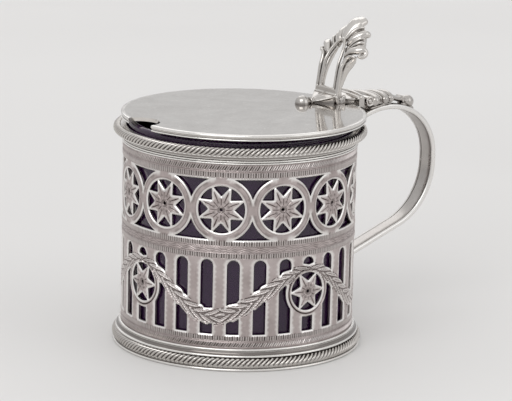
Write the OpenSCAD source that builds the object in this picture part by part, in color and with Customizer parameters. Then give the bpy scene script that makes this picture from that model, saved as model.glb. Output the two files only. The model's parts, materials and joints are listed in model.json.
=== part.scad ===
// Pierced silver drum mustard pot with a glass liner and a hinged flat lid.
// Millimetres, +Z up. The origin is the centre of the foot on the table and
// +X runs from the drum's axis to the handle. The lid turns about an axis along Y.

/* [Drum wall] */
// Outer radius of the drum wall
drum_r = 32.3; // [29:0.1:38]
// Thickness of the silver sheet in the wall and the base
sheet_t = 0.9; // [0.6:0.05:1.4]
// Height of the engraved band between the foot and the slots
base_band_h = 3.7; // [2.5:0.1:6]
// Height of the upright slots
slot_h = 20.6; // [18:0.1:26]
// Height of the engraved band between the slots and the roundels
mid_band_h = 5.5; // [4:0.1:8]
// Height of the engraved band between the roundels and the rim
top_band_h = 4.7; // [3.5:0.1:7]

/* [Slots] */
// Number of upright slots round the drum
slot_count = 28; // [20:4:32]
// Width of a slot
slot_w = 3.5; // [2.5:0.1:4.2]

/* [Roundels] */
// Number of roundels round the drum
roundel_count = 12; // [8:4:12]
// Radius of the pierced field of a roundel
roundel_r = 6.45; // [5:0.05:7]
// Width of the ring round a roundel
roundel_ring_w = 2.45; // [1.5:0.05:3]
// How far a roundel's ring runs into the bands above and below
roundel_sink = 0.65; // [0.4:0.05:1.2]
// Number of points on a roundel's star
roundel_points = 8; // [6:1:10]
// Radius of the notches between the points of a roundel's star
roundel_notch_r = 3.6; // [2.5:0.1:4.5]
// Height of the fields between the roundels above the roundels' middle
spandrel_rise = 1.5; // [1:0.1:2.5]

/* [Medallions and swags] */
// Number of medallions, with one swag hung between each pair
medallion_count = 4; // [2:2:4]
// Radius of a medallion
medallion_r = 7; // [6:0.1:8]
// Radius of the pierced field of a medallion
medallion_open_r = 5.3; // [4:0.1:5.6]
// Number of points on a medallion's star
medallion_points = 6; // [5:1:8]
// Radius of the notches between the points of a medallion's star
medallion_notch_r = 2.9; // [2:0.1:3.5]
// Height of a medallion's centre above the foot of the slots
medallion_rise = 11; // [9:0.1:13]
// Depth of a swag's peak below the crown of the slots
swag_peak_drop = 3.6; // [2.5:0.1:5]
// Height of a swag's lowest point above the foot of the slots
swag_low_rise = 4.9; // [3:0.1:7]
// Where along its span a swag hangs lowest
swag_low_at = 0.46; // [0.4:0.01:0.6]
// Upright thickness of a swag at its lowest point
swag_low_h = 4.3; // [3:0.1:6]
// Upright thickness of a swag at its peak
swag_peak_h = 3.2; // [2:0.1:5]
// Extra upright thickness of a swag on its slopes
swag_slope_h = 1.1; // [0:0.1:2]
// Radius of the hole at the heart of each star
star_eye_r = 0.45; // [0.3:0.05:0.8]
// How far a star's points run into the ring round it
star_sink = 0.6; // [0.3:0.05:0.9]

/* [Foot] */
// Height of the foot moulding
foot_h = 5.9; // [5:0.1:8]
// How far the foot's flange stands out from the drum wall
foot_reach = 2.3; // [1.8:0.1:4]
// Height of the foot's flange
foot_flange_h = 0.8; // [0.6:0.1:1.4]
// Height of the ledge that the wall and the base stand on
ledge_z = 2.6; // [1.8:0.1:3.5]
// How far the ledge runs in under the drum
ledge_w = 2.2; // [1.5:0.1:4]
// Radius of the rope wire on the foot
foot_rope_r = 1.5; // [0.9:0.05:1.6]

/* [Rim] */
// Height of the moulding under the rim's rope wire
moulding_h = 2.3; // [1.5:0.1:4]
// How far the moulding stands out from the drum wall
moulding_reach = 2.1; // [1.5:0.1:2.6]
// Radius of the rope wire on the rim
rim_rope_r = 1.4; // [1:0.05:1.8]

/* [Glass liner] */
// Gap between the liner and the drum wall
liner_gap = 0.5; // [0.3:0.05:1]
// Thickness of the liner's wall
liner_wall = 2.2; // [1.5:0.1:3]
// Thickness of the liner's floor
liner_floor = 3; // [2:0.1:5]
// Radius of the liner's outer bottom edge
liner_round = 2; // [1:0.1:3]
// Gap between the liner's rim and the closed lid
liner_lid_gap = 0.4; // [0.3:0.05:1]

/* [Lid] */
// Radius of the lid over its edge wire
lid_r = 33.9; // [31:0.1:40]
// How far the lid sits towards the hinge from the drum's axis
lid_shift = 1.1; // [0:0.1:1.5]
// Gap between the rim's rope wire and the closed lid
lid_gap = 0.9; // [0.6:0.1:2]
// Thickness of the lid's sheet
lid_t = 1.1; // [0.8:0.1:1.6]
// Height of the lid's edge wire
lid_edge_h = 1.7; // [1.2:0.1:2.5]
// Width of the lid's edge wire
lid_edge_w = 1; // [0.7:0.1:1.6]
// Radius of the round spoon notch in the lid's edge
notch_r = 6; // [4.5:0.1:8]
// Turn of the spoon notch from the side opposite the hinge
notch_turn = 4; // [0:1:20]

/* [Hinge] */
// Distance of the hinge axis from the lid's edge
hinge_reach = 4.7; // [4:0.1:6]
// Height of the hinge axis above the lid's top
hinge_rise = 0.2; // [0:0.05:0.6]
// Length of the hinge barrel
barrel_l = 15; // [12:0.1:18]
// Length of the lid's knuckle in the middle of the barrel
lid_knuckle_l = 6.2; // [4:0.1:8]
// Radius of the hinge barrel
knuckle_r = 1.3; // [1.1:0.05:1.6]
// Radius of the hinge pin
pin_r = 0.8; // [0.6:0.05:0.9]
// Running clearance round the pin in the lid's knuckle
pin_gap = 0.05; // [0.02:0.01:0.1]
// Gap between the ends of the knuckles
knuckle_gap = 0.25; // [0.15:0.05:0.4]
// Gap between a knuckle and the fitting that swings past it
swing_gap = 0.3; // [0.2:0.05:0.5]

/* [Lid strap] */
// Thickness of the cast strap on the lid
strap_t = 1.9; // [1.4:0.1:2.6]
// Distance of the strap's scrolls from the hinge axis
strap_scroll_s = 9.3; // [8:0.1:11]
// Distance of the strap's ball from the hinge axis
strap_ball_s = 18.3; // [16:0.1:20]
// Radius of the strap's ball
strap_ball_r = 2; // [1.5:0.1:2.6]
// Radius of the strap's scrolls
strap_scroll_r = 1.7; // [1.4:0.1:2.2]
// Radius of the reed beside the barrel
strap_reed_r = 0.85; // [0.6:0.05:1]
// Width of the strap beside its ball
strap_waist_w = 1.3; // [1:0.1:2]
// Thickness of the tongue that carries the lid's knuckle
tongue_t = 0.8; // [0.6:0.05:1.1]

/* [Thumbpiece] */
// Height of the thumbpiece above the strap
thumb_h = 20.4; // [16:0.1:24]
// Radius that the thumbpiece bends back on
thumb_bend_r = 23; // [21.6:0.2:28]
// Thickness of the thumbpiece
thumb_t = 2; // [1.4:0.1:3]
// Distance of each leg's centre from the middle
thumb_leg_y = 4.6; // [4:0.1:5.5]
// Width of each leg
thumb_leg_w = 2.4; // [1.6:0.1:3]
// Half width of the fan over its scrolls
thumb_fan_y = 9; // [8:0.1:11]
// Number of lobes on each side of the fan's crown, with the scroll as the last
thumb_lobes = 3; // [2:1:4]
// Radius of the lobe at the fan's crown
thumb_crown_r = 3; // [2.4:0.1:3.6]
// Radius of the fan's scrolls
thumb_scroll_r = 1.6; // [1.2:0.1:2]
// Height of the fan's scrolls
thumb_scroll_h = 12.5; // [11:0.1:13.5]
// Height of the opening between the legs
thumb_arch_h = 14.5; // [12:0.1:15]

/* [Handle] */
// Width of the handle strap
handle_w = 6; // [4:0.1:8]
// Thickness of the handle strap
handle_t = 1.5; // [1:0.1:2.2]
// Depth of the strap's upper end below the drum's top edge
handle_drop = 6.1; // [5.5:0.1:8]
// Slope of the strap where it leaves the drum
handle_slope = 28; // [24:1:32]
// Length of the strap's straight start
handle_start_l = 9.2; // [8:0.1:11]
// Radius of the strap's crest
crest_r = 21.6; // [20:0.1:24]
// Turn of the strap over its crest
crest_turn = 53; // [50:1:56]
// Radius of the strap's shoulder
shoulder_r = 15.9; // [14:0.1:18]
// Turn of the strap round its shoulder
shoulder_turn = 65; // [62:1:66]
// Length of the straight between shoulder and elbow
handle_side_l = 2; // [1:0.1:5]
// Radius of the strap's elbow
elbow_r = 19.2; // [17:0.1:22]
// Turn of the strap round its elbow
elbow_turn = 69.5; // [66:0.5:72]

/* [Handle leaf] */
// Number of reeds beside the barrel on the leaf
leaf_reeds = 3; // [2:1:4]
// Radius of a reed on the leaf
leaf_reed_r = 1.3; // [1:0.05:1.5]
// Distance between reeds on the leaf
leaf_reed_step = 2.4; // [1.8:0.1:2.6]
// How much shorter each reed is than the last
leaf_taper = 2.6; // [1:0.1:3.5]
// Radius of the leaf's neck
leaf_neck_r = 1.9; // [1.5:0.1:2.4]
// Distance of the leaf's end ball from the hinge axis
leaf_ball_s = 19.8; // [18:0.1:21]
// Radius of the leaf's end ball
leaf_ball_r = 1.9; // [1.5:0.1:2.4]

/* [Hidden] */
$fn = 96;
// Overrun of a cutter past the face that it cuts
over = 0.5;
// How far a rope wire is flattened against what it is soldered to
wire_bed = 0.1;
// Share of a ball's radius, and of the leaf's neck, that its middle stands above what it is soldered to
ball_seat = 0.85;
neck_seat = 0.6;

// Heights up the drum
slot_z = foot_h + base_band_h;
roundel_band_h = 2 * (roundel_r + roundel_ring_w - roundel_sink);
roundel_z = slot_z + slot_h + mid_band_h + roundel_band_h / 2;
moulding_z = roundel_z + roundel_band_h / 2 + top_band_h;
rim_rope_z = moulding_z + moulding_h + rim_rope_r - wire_bed;
wall_top = rim_rope_z + rim_rope_r / 2;
lid_z = rim_rope_z + rim_rope_r + lid_gap;
lid_top = lid_z + lid_edge_h;

// The foot's rope wire lies in a square groove between the flange and the lower reed
foot_rope_seat = drum_r + foot_reach - foot_rope_r + 2 * wire_bed;
foot_rope_z = foot_flange_h + foot_rope_r - wire_bed;
foot_reed_z = foot_rope_z + foot_rope_r - wire_bed;

wall_in = drum_r - sheet_t;
base_top = ledge_z + sheet_t;
liner_r = wall_in - liner_gap;
liner_top = lid_z - liner_lid_gap;

// Hinge axis
hinge_x = lid_shift + lid_r + hinge_reach;
hinge_z = lid_top + hinge_rise;
strap_top = lid_top + strap_t;
outer_knuckle_l = (barrel_l - lid_knuckle_l) / 2 - knuckle_gap;

// The handle's path: a straight off the drum, three bends and a straight back to the drum
handle_z = wall_top - handle_drop;
handle_lead = 2 * sheet_t;
function along(h) = [cos(h), sin(h)];
function right_of(h) = [sin(h), -cos(h)];
crest_start = [drum_r, handle_z] + handle_start_l * along(handle_slope);
crest_c = crest_start + crest_r * right_of(handle_slope);
shoulder_h = handle_slope - crest_turn;
shoulder_c = crest_c + (shoulder_r - crest_r) * right_of(shoulder_h);
side_h = shoulder_h - shoulder_turn;
elbow_c = shoulder_c + handle_side_l * along(side_h) + (elbow_r - shoulder_r) * right_of(side_h);
tail_h = side_h - elbow_turn;
tail_start = elbow_c - elbow_r * right_of(tail_h);
tail_l = (tail_start[0] - wall_in) / -cos(tail_h);

// Points of a bend about centre c at radius r, from heading h through a turn to the right
bend_steps = 20;
function bend(c, r, h, turn) = [for (i = [0 : bend_steps]) c - r * right_of(h - turn * i / bend_steps)];

// The handle's face at a depth below its outer face
function handle_face(depth) = concat(
    [crest_start - (handle_start_l + handle_lead) * along(handle_slope) + depth * right_of(handle_slope)],
    bend(crest_c, crest_r - depth, handle_slope, crest_turn),
    bend(shoulder_c, shoulder_r - depth, shoulder_h, shoulder_turn),
    bend(elbow_c, elbow_r - depth, side_h, elbow_turn),
    [tail_start + tail_l * along(tail_h) + depth * right_of(tail_h)]);
function reversed(points) = [for (i = [len(points) - 1 : -1 : 0]) points[i]];

// Height of the handle's outer face over its crest, at a distance x from the drum's axis
function crest_z(x) = crest_c[1] + sqrt(crest_r * crest_r - (x - crest_c[0]) * (x - crest_c[0]));

// A swag's place along its span, its rise from its lowest point, its middle and its thickness
span = 360 / medallion_count;
function swag_u(a) = (a / span) - floor(a / span);
function swag_side(u) = u < swag_low_at ? swag_low_at : 1 - swag_low_at;
function swag_part(u) = abs(u - swag_low_at) / swag_side(u);
function swag_rise(u) = (1 - cos(180 * swag_part(u))) / 2;
swag_peak_rise = slot_h - swag_peak_drop;
function swag_mid(u) = swag_low_rise + (swag_peak_rise - swag_low_rise) * swag_rise(u);
function swag_bare_h(u) = swag_low_h + (swag_peak_h - swag_low_h) * swag_rise(u);
function swag_h(u) = swag_bare_h(u) + swag_slope_h * sin(180 * swag_part(u));

silver = "silver";
cobalt = "midnightblue";
glass_alpha = 0.6;

// A flat outline pushed through the drum wall at angle a, its origin at height z
module through_wall(a, z) {
    reach = 3 * sheet_t + over;
    rotate([0, 0, a])
        translate([drum_r - reach, 0, z])
            rotate([90, 0, 90])
                linear_extrude(reach + over)
                    children();
}

// The field between the points of a star: a disc less the star, with an eye at its heart
module star_field(field_r, notch_r, points, turn) {
    tip_r = field_r + star_sink;
    half = 180 / points;
    star = [for (i = [0 : 2 * points - 1])
        (i % 2 == 0 ? tip_r : notch_r) * [cos(turn + i * half), sin(turn + i * half)]];
    difference() {
        circle(field_r);
        polygon(star);
    }
    circle(star_eye_r);
}

// One of the flat-based fields between two roundels
module spandrel() {
    pitch = drum_r * sin(180 / roundel_count);
    ring_r = roundel_r + roundel_ring_w;
    difference() {
        translate([-pitch, spandrel_rise])
            square([2 * pitch, roundel_band_h / 2 - spandrel_rise]);
        for (side = [-1, 1])
            translate([side * pitch, 0])
                circle(ring_r);
    }
}

// A slot with a square foot and a round crown
module slot_outline() {
    straight = slot_h - slot_w / 2;
    translate([-slot_w / 2, 0])
        square([slot_w, straight]);
    translate([0, straight])
        circle(d = slot_w);
}

// The stretch of swag that crosses the slot at angle a
module swag_stretch(a) {
    reach = slot_w / 2 + over;
    spots = [-reach, 0, reach];
    u = [for (x = spots) swag_u(a + asin(x / drum_r))];
    upper = [for (i = [0 : 2]) [spots[i], swag_mid(u[i]) + swag_h(u[i]) / 2]];
    lower = [for (i = [2 : -1 : 0]) [spots[i], swag_mid(u[i]) - swag_h(u[i]) / 2]];
    polygon(concat(upper, lower));
}

// A slot with the swag and the nearest medallion left standing across it
module clipped_slot(a) {
    from_medallion = a - span * round(a / span);
    difference() {
        slot_outline();
        swag_stretch(a);
        translate([-drum_r * sin(from_medallion), medallion_rise])
            circle(medallion_r);
    }
}

module piercing() {
    for (i = [0 : slot_count - 1])
        through_wall(i * 360 / slot_count, slot_z)
            clipped_slot(i * 360 / slot_count);
    for (i = [0 : roundel_count - 1]) {
        through_wall((i + 0.5) * 360 / roundel_count, roundel_z)
            star_field(roundel_r, roundel_notch_r, roundel_points, 180 / roundel_points);
        through_wall(i * 360 / roundel_count, roundel_z) {
            spandrel();
            mirror([0, 1])
                spandrel();
        }
    }
    // The medallion behind the handle stays whole, because the handle is soldered to it
    for (i = [1 : medallion_count - 1])
        through_wall(i * span, slot_z + medallion_rise)
            star_field(medallion_open_r, medallion_notch_r, medallion_points, 0);
}

module drum_wall() {
    color(silver)
        difference() {
            rotate_extrude()
                translate([wall_in, ledge_z])
                    square([sheet_t, wall_top - ledge_z]);
            piercing();
        }
}

module foot_ring() {
    in_r = drum_r - ledge_w;
    flange_r = drum_r + foot_reach;
    reed_r = (foot_h - foot_reed_z) / 4;
    color(silver)
        rotate_extrude()
            difference() {
                union() {
                    translate([in_r, 0])
                        square([flange_r - in_r, foot_flange_h]);
                    translate([in_r, 0])
                        square([foot_rope_seat - in_r, foot_reed_z]);
                    translate([in_r, foot_reed_z])
                        square([flange_r - reed_r - in_r, 2 * reed_r]);
                    translate([flange_r - reed_r, foot_reed_z + reed_r])
                        circle(reed_r);
                    translate([in_r, foot_reed_z + 2 * reed_r])
                        square([foot_rope_seat - reed_r - in_r, 2 * reed_r]);
                    translate([foot_rope_seat - reed_r, foot_reed_z + 3 * reed_r])
                        circle(reed_r);
                }
                translate([0, ledge_z])
                    square([drum_r, foot_h]);
            }
}

// A round wire bent into a ring, flattened against its seat and the faces below and above
module rope_ring(seat_r, mid_r, z, wire_r, low_z, high_z) {
    rotate_extrude()
        intersection() {
            translate([mid_r, z])
                circle(wire_r);
            translate([seat_r, low_z])
                square([3 * wire_r, high_z - low_z]);
        }
}

module foot_rope() {
    color(silver)
        rope_ring(foot_rope_seat, foot_rope_seat, foot_rope_z, foot_rope_r, foot_flange_h, foot_reed_z);
}

module base_plate() {
    color(silver)
        translate([0, 0, ledge_z])
            cylinder(r = wall_in, h = sheet_t);
}

module rim_moulding() {
    lip = moulding_h / 4;
    hollow_r = min(moulding_h - lip, moulding_reach - lip / 2);
    color(silver)
        rotate_extrude()
            translate([drum_r, moulding_z])
                difference() {
                    union() {
                        square([moulding_reach - lip / 2, moulding_h]);
                        translate([moulding_reach - lip / 2, moulding_h - lip / 2])
                            circle(d = lip);
                    }
                    translate([moulding_reach, 0])
                        circle(hollow_r);
                }
}

module rim_rope() {
    mid_r = drum_r + rim_rope_r - wire_bed;
    color(silver)
        rope_ring(drum_r, mid_r, rim_rope_z, rim_rope_r, moulding_z + moulding_h, lid_z);
}

module glass_liner() {
    height = liner_top - base_top;
    bore_r = liner_r - liner_wall;
    rim_r = liner_wall / 2;
    color(cobalt, glass_alpha)
        translate([0, 0, base_top])
            rotate_extrude()
                difference() {
                    union() {
                        square([liner_r - liner_round, height - rim_r]);
                        translate([0, liner_round])
                            square([liner_r, height - rim_r - liner_round]);
                        translate([liner_r - liner_round, liner_round])
                            circle(liner_round);
                        translate([liner_r - rim_r, height - rim_r])
                            circle(rim_r);
                    }
                    translate([-liner_r, liner_floor])
                        square([liner_r + bore_r, height]);
                    translate([-2 * liner_r, -height])
                        square([2 * liner_r, 3 * height]);
                }
}

// The round cut for the spoon's stem at the lid's edge
module spoon_notch() {
    rotate([0, 0, 180 - notch_turn])
        translate([lid_r, 0, lid_z - over])
            cylinder(r = notch_r, h = lid_edge_h + 2 * over);
}

module lid_plate() {
    color(silver)
        translate([lid_shift, 0, 0])
            difference() {
                translate([0, 0, lid_top - lid_t])
                    cylinder(r = lid_r - lid_edge_w, h = lid_t);
                spoon_notch();
            }
}

module lid_edge_wire() {
    bead_r = lid_edge_h / 4;
    flat_w = lid_edge_w - bead_r / 2;
    color(silver)
        translate([lid_shift, 0, 0])
            difference() {
                rotate_extrude()
                    translate([lid_r - lid_edge_w, lid_z]) {
                        square([flat_w - bead_r / 2, lid_edge_h]);
                        translate([lid_edge_w - bead_r, lid_edge_h - bead_r])
                            circle(bead_r);
                        translate([lid_edge_w - bead_r, bead_r])
                            circle(bead_r);
                        translate([0, bead_r])
                            square([flat_w, lid_edge_h - 2 * bead_r]);
                    }
                spoon_notch();
            }
}

// A round bar along Y, centred on the hinge's middle, at x and z
module cross_bar(x, z, r, l) {
    translate([x, 0, z])
        rotate([90, 0, 0])
            cylinder(r = r, h = l, center = true);
}

// The two stretches of barrel that belong to the handle, as wide as r
module outer_barrels(r, l) {
    for (side = [-1, 1])
        translate([hinge_x, side * (barrel_l - l) / 2, hinge_z])
            rotate([90, 0, 0])
                cylinder(r = r, h = l, center = true);
}

module lid_strap() {
    swing_r = knuckle_r + swing_gap;
    reed_s = swing_r + strap_reed_r;
    scroll_y = thumb_leg_y + thumb_leg_w / 4;
    half_waist = strap_waist_w / 2;
    neck = lid_knuckle_l / 2 - knuckle_gap;
    ball_neck_s = strap_ball_s - strap_ball_r;
    half = [[0, neck], [reed_s, neck], [strap_scroll_s - 2 * strap_scroll_r, neck - half_waist],
            [strap_scroll_s - strap_scroll_r / 2, scroll_y], [strap_scroll_s + strap_scroll_r / 2, scroll_y],
            [strap_scroll_s + 2 * strap_scroll_r, neck - half_waist], [ball_neck_s, half_waist],
            [strap_ball_s, half_waist]];
    plan = concat(half, [for (p = reversed(half)) [p[0], -p[1]]]);
    color(silver)
        difference() {
            union() {
                translate([hinge_x, 0, lid_top])
                    linear_extrude(strap_t)
                        mirror([1, 0]) {
                            intersection() {
                                polygon(plan);
                                translate([reed_s, -barrel_l])
                                    square([strap_ball_s, 2 * barrel_l]);
                            }
                            for (side = [-1, 1])
                                translate([strap_scroll_s, side * scroll_y])
                                    circle(strap_scroll_r);
                        }
                translate([hinge_x - reed_s, -neck, lid_top])
                    cube([reed_s, 2 * neck, tongue_t]);
                intersection() {
                    cross_bar(hinge_x - reed_s, lid_top + strap_reed_r / 2, strap_reed_r, barrel_l);
                    translate([0, -barrel_l, lid_top - strap_reed_r / 2])
                        cube([hinge_x, 2 * barrel_l, 2 * strap_t]);
                }
                translate([hinge_x - strap_ball_s, 0, lid_top + ball_seat * strap_ball_r])
                    intersection() {
                        sphere(strap_ball_r);
                        translate([-strap_ball_r, -strap_ball_r, -ball_seat * strap_ball_r])
                            cube(2 * strap_ball_r);
                    }
            }
            cross_bar(hinge_x, hinge_z, knuckle_r, lid_knuckle_l);
            outer_barrels(swing_r, (barrel_l - lid_knuckle_l) / 2 + over);
        }
}

module lid_knuckle() {
    color(silver)
        difference() {
            cross_bar(hinge_x, hinge_z, knuckle_r, lid_knuckle_l);
            cross_bar(hinge_x, hinge_z, pin_r + pin_gap, barrel_l);
        }
}

module handle_knuckles() {
    color(silver)
        difference() {
            outer_barrels(knuckle_r, outer_knuckle_l);
            cross_bar(hinge_x, hinge_z, pin_r, 2 * barrel_l);
        }
}

module hinge_pin() {
    color(silver)
        cross_bar(hinge_x, hinge_z, pin_r, barrel_l);
}

// The fan's outline seen from the lid's middle, with its legs' feet at height 0
module thumb_outline() {
    leg_out = thumb_leg_y + thumb_leg_w / 2;
    leg_in = thumb_leg_y - thumb_leg_w / 2;
    crown_z = thumb_h - thumb_crown_r;
    scroll_y = thumb_fan_y - thumb_scroll_r;
    step = 90 / thumb_lobes;
    spots = [for (i = [thumb_lobes : -1 : -thumb_lobes])
        [scroll_y * sin(i * step), thumb_scroll_h + (crown_z - thumb_scroll_h) * cos(i * step)]];
    difference() {
        union() {
            polygon(concat([[-leg_out, thumb_scroll_h / 2], [-leg_out, 0], [leg_out, 0],
                            [leg_out, thumb_scroll_h / 2]], spots));
            for (i = [-thumb_lobes : thumb_lobes])
                translate(spots[i + thumb_lobes])
                    circle(thumb_crown_r + (thumb_scroll_r - thumb_crown_r) * abs(i) / thumb_lobes);
        }
        thumb_arch(leg_in);
    }
}

// The pointed opening between the legs, of half width w
module thumb_arch(w) {
    sill = thumb_leg_w / 2;
    spring = thumb_arch_h - 2 * w;
    arc_r = (w * w + pow(thumb_arch_h - spring, 2)) / (2 * w);
    translate([-w, sill])
        square([2 * w, spring - sill]);
    intersection() {
        translate([-w, spring - over])
            square([2 * w, thumb_arch_h]);
        translate([arc_r - w, spring])
            circle(arc_r);
        translate([w - arc_r, spring])
            circle(arc_r);
    }
}

module thumbpiece() {
    base_x = hinge_x - strap_scroll_s;
    color(silver)
        translate([base_x, 0, strap_top])
            intersection() {
                rotate([90, 0, 0])
                    linear_extrude(3 * thumb_fan_y, center = true)
                        intersection() {
                            translate([thumb_bend_r, 0])
                                difference() {
                                    circle(thumb_bend_r + thumb_t / 2);
                                    circle(thumb_bend_r - thumb_t / 2);
                                }
                            translate([-thumb_t, 0])
                                square([thumb_bend_r + thumb_t, 2 * thumb_bend_r]);
                        }
                translate([-thumb_t, 0, 0])
                    rotate([90, 0, 90])
                        linear_extrude(2 * thumb_bend_r)
                            thumb_outline();
            }
}

// The strap runs into the drum and is cut to fit its wall
module handle_strap() {
    color(silver)
        difference() {
            rotate([90, 0, 0])
                linear_extrude(handle_w, center = true)
                    polygon(concat(handle_face(0), reversed(handle_face(handle_t))));
            cylinder(r = drum_r, h = lid_z);
        }
}

// The leaf lies on the handle's crest and is cut to its curve
module handle_leaf() {
    swing_r = knuckle_r + swing_gap;
    first_x = hinge_x + knuckle_r + leaf_reed_r;
    last_x = first_x + (leaf_reeds - 1) * leaf_reed_step;
    ball_x = hinge_x + leaf_ball_s;
    neck_z = crest_z(last_x) + neck_seat * leaf_neck_r;
    neck_run = [ball_x - last_x, crest_z(ball_x) - crest_z(last_x)];
    reed_z = hinge_z - knuckle_r / 2;
    reed_drop = (reed_z - neck_z) / leaf_reeds;
    web_w = barrel_l - leaf_reeds * leaf_taper;
    color(silver)
        difference() {
            union() {
                for (i = [0 : leaf_reeds - 1])
                    cross_bar(first_x + i * leaf_reed_step, reed_z - i * reed_drop, leaf_reed_r,
                              barrel_l - (i + 0.5) * leaf_taper);
                translate([hinge_x, -barrel_l / 2, hinge_z - knuckle_r])
                    cube([first_x - hinge_x, barrel_l, knuckle_r]);
                translate([hinge_x, -web_w / 2, neck_z - leaf_reed_r / 2])
                    cube([last_x - hinge_x, web_w, reed_z - neck_z + leaf_reed_r / 2]);
                translate([last_x, 0, neck_z])
                    rotate([0, 90 - atan2(neck_run[1], neck_run[0]), 0])
                        cylinder(r = leaf_neck_r, h = norm(neck_run));
                translate([ball_x, 0, crest_z(ball_x) + ball_seat * leaf_ball_r])
                    sphere(leaf_ball_r);
            }
            cross_bar(crest_c[0], crest_c[1], crest_r, 2 * barrel_l);
            outer_barrels(knuckle_r, barrel_l / 2);
            cross_bar(hinge_x, hinge_z, swing_r, lid_knuckle_l + 2 * knuckle_gap);
        }
}

foot_ring();
foot_rope();
base_plate();
drum_wall();
rim_moulding();
rim_rope();
glass_liner();
handle_strap();
handle_leaf();
handle_knuckles();
hinge_pin();
lid_plate();
lid_edge_wire();
lid_strap();
lid_knuckle();
thumbpiece();
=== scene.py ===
import json
import math

import bmesh
import bpy
import numpy as np
from mathutils import Matrix, Vector, geometry


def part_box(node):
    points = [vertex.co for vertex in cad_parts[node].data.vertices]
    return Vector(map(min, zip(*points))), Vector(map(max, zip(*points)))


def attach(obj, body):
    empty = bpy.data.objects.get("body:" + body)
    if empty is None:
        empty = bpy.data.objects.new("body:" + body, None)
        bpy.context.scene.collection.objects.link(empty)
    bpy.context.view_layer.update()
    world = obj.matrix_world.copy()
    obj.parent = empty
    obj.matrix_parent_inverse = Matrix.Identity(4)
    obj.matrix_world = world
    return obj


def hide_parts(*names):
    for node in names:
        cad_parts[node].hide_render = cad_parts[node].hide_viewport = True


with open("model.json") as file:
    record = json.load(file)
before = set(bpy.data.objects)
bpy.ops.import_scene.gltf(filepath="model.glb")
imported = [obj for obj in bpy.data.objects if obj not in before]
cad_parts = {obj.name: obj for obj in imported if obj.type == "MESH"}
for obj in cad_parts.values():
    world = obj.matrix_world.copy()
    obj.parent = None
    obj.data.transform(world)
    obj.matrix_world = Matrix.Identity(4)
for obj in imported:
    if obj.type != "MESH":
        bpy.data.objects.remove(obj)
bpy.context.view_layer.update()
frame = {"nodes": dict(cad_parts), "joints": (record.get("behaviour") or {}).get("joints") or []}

# Lengths are in millimetres, in the frame's own axes, and become metres when a mesh is made
MM = 0.001


def corners(node):
    """Lowest and highest corner of a solid in millimetres."""
    low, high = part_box(node)
    return np.array(low) / MM, np.array(high) / MM


# Main sizes, read from the frame
WALL_LOW, WALL_HIGH = corners("drum_wall")
FOOT_HIGH = corners("foot_ring")[1]
FOOT_ROPE_LOW, FOOT_ROPE_HIGH = corners("foot_rope")
MOULDING_LOW, MOULDING_HIGH = corners("rim_moulding")
RIM_ROPE_LOW, RIM_ROPE_HIGH = corners("rim_rope")
LINER_LOW, LINER_HIGH = corners("glass_liner")
EDGE_LOW, EDGE_HIGH = corners("lid_edge_wire")
BARREL_LOW, BARREL_HIGH = corners("handle_knuckles")
HINGE_X, _, HINGE_Z = (value / MM for value in frame["joints"][0]["pos_m"])

# The engraved sheet ends below the solid wall's top, under the land that carries the rim rope
LAND_DROP = 0.6
DRUM_R = WALL_HIGH[0]
SHEET_T = 0.9
WALL_TOP = WALL_HIGH[2] - LAND_DROP
FULL_TURN = 2 * math.pi
AROUND = FULL_TURN * DRUM_R


# Meshes

def turns_of(count):
    """Evenly spaced angles of one full turn."""
    return np.linspace(0, FULL_TURN, count, endpoint=False)


def grid_faces(rows, columns, close_rows=False, close_columns=True):
    """Quads of a grid of points numbered row by row."""
    faces = []
    for row in range(rows if close_rows else rows - 1):
        below, above = row * columns, (row + 1) % rows * columns
        for column in range(columns if close_columns else columns - 1):
            beside = (column + 1) % columns
            faces.append((below + column, below + beside, above + beside, above + column))
    return faces


def capped_faces(rows, columns):
    """Faces of a tube of points numbered row by row, with its first and last row closed."""
    last = (rows - 1) * columns
    return grid_faces(rows, columns) + [tuple(range(columns)), tuple(range(last, last + columns))]


def new_object(name, data):
    """An object placed in the scene."""
    made = bpy.data.objects.new(name, data)
    bpy.context.scene.collection.objects.link(made)
    return made


def make_piece(name, node, shells, material, body="pot", crease=35):
    """A piece in place of a solid, made of closed shells: each is points in millimetres and polygons."""
    points, polygons = [], []
    for shell_points, shell_polygons in shells:
        base = len(points)
        points.extend(map(tuple, np.asarray(shell_points, float) * MM))
        polygons.extend(tuple(base + int(i) for i in polygon) for polygon in shell_polygons)
    mesh = bpy.data.meshes.new(name)
    mesh.from_pydata(points, [], polygons)
    work = bmesh.new()
    work.from_mesh(mesh)
    bmesh.ops.recalc_face_normals(work, faces=work.faces)
    work.to_mesh(mesh)
    work.free()
    piece = new_object(name, mesh)
    finish_mesh(mesh, material, crease)
    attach(piece, body)
    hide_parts(node)
    return piece


def finish_mesh(mesh, material, crease):
    mesh.shade_smooth()
    mesh.set_sharp_from_angle(angle=math.radians(crease))
    mesh.materials.clear()
    mesh.materials.append(material)


def paint(piece, name, values):
    """Keeps a value at each point of a piece for its material."""
    values = np.asarray(values, np.float32)
    piece.data.attributes.new(name, "FLOAT", "POINT").data.foreach_set("value", values)


CAST_VOXEL, CAST_CREASE = 0.1, 60


def melt(piece, voxel=CAST_VOXEL):
    """Runs a piece's shells together into one cast skin and softens it once."""
    remesh = piece.modifiers.new("cast", "REMESH")
    remesh.mode = "VOXEL"
    remesh.voxel_size = voxel * MM
    soften = piece.modifiers.new("soften", "SMOOTH")
    soften.factor = 0.5
    soften.iterations = 1
    material = piece.data.materials[0]
    graph = bpy.context.evaluated_depsgraph_get()
    cast = bpy.data.meshes.new_from_object(piece.evaluated_get(graph))
    piece.modifiers.clear()
    piece.data = cast
    finish_mesh(cast, material, CAST_CREASE)


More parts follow.
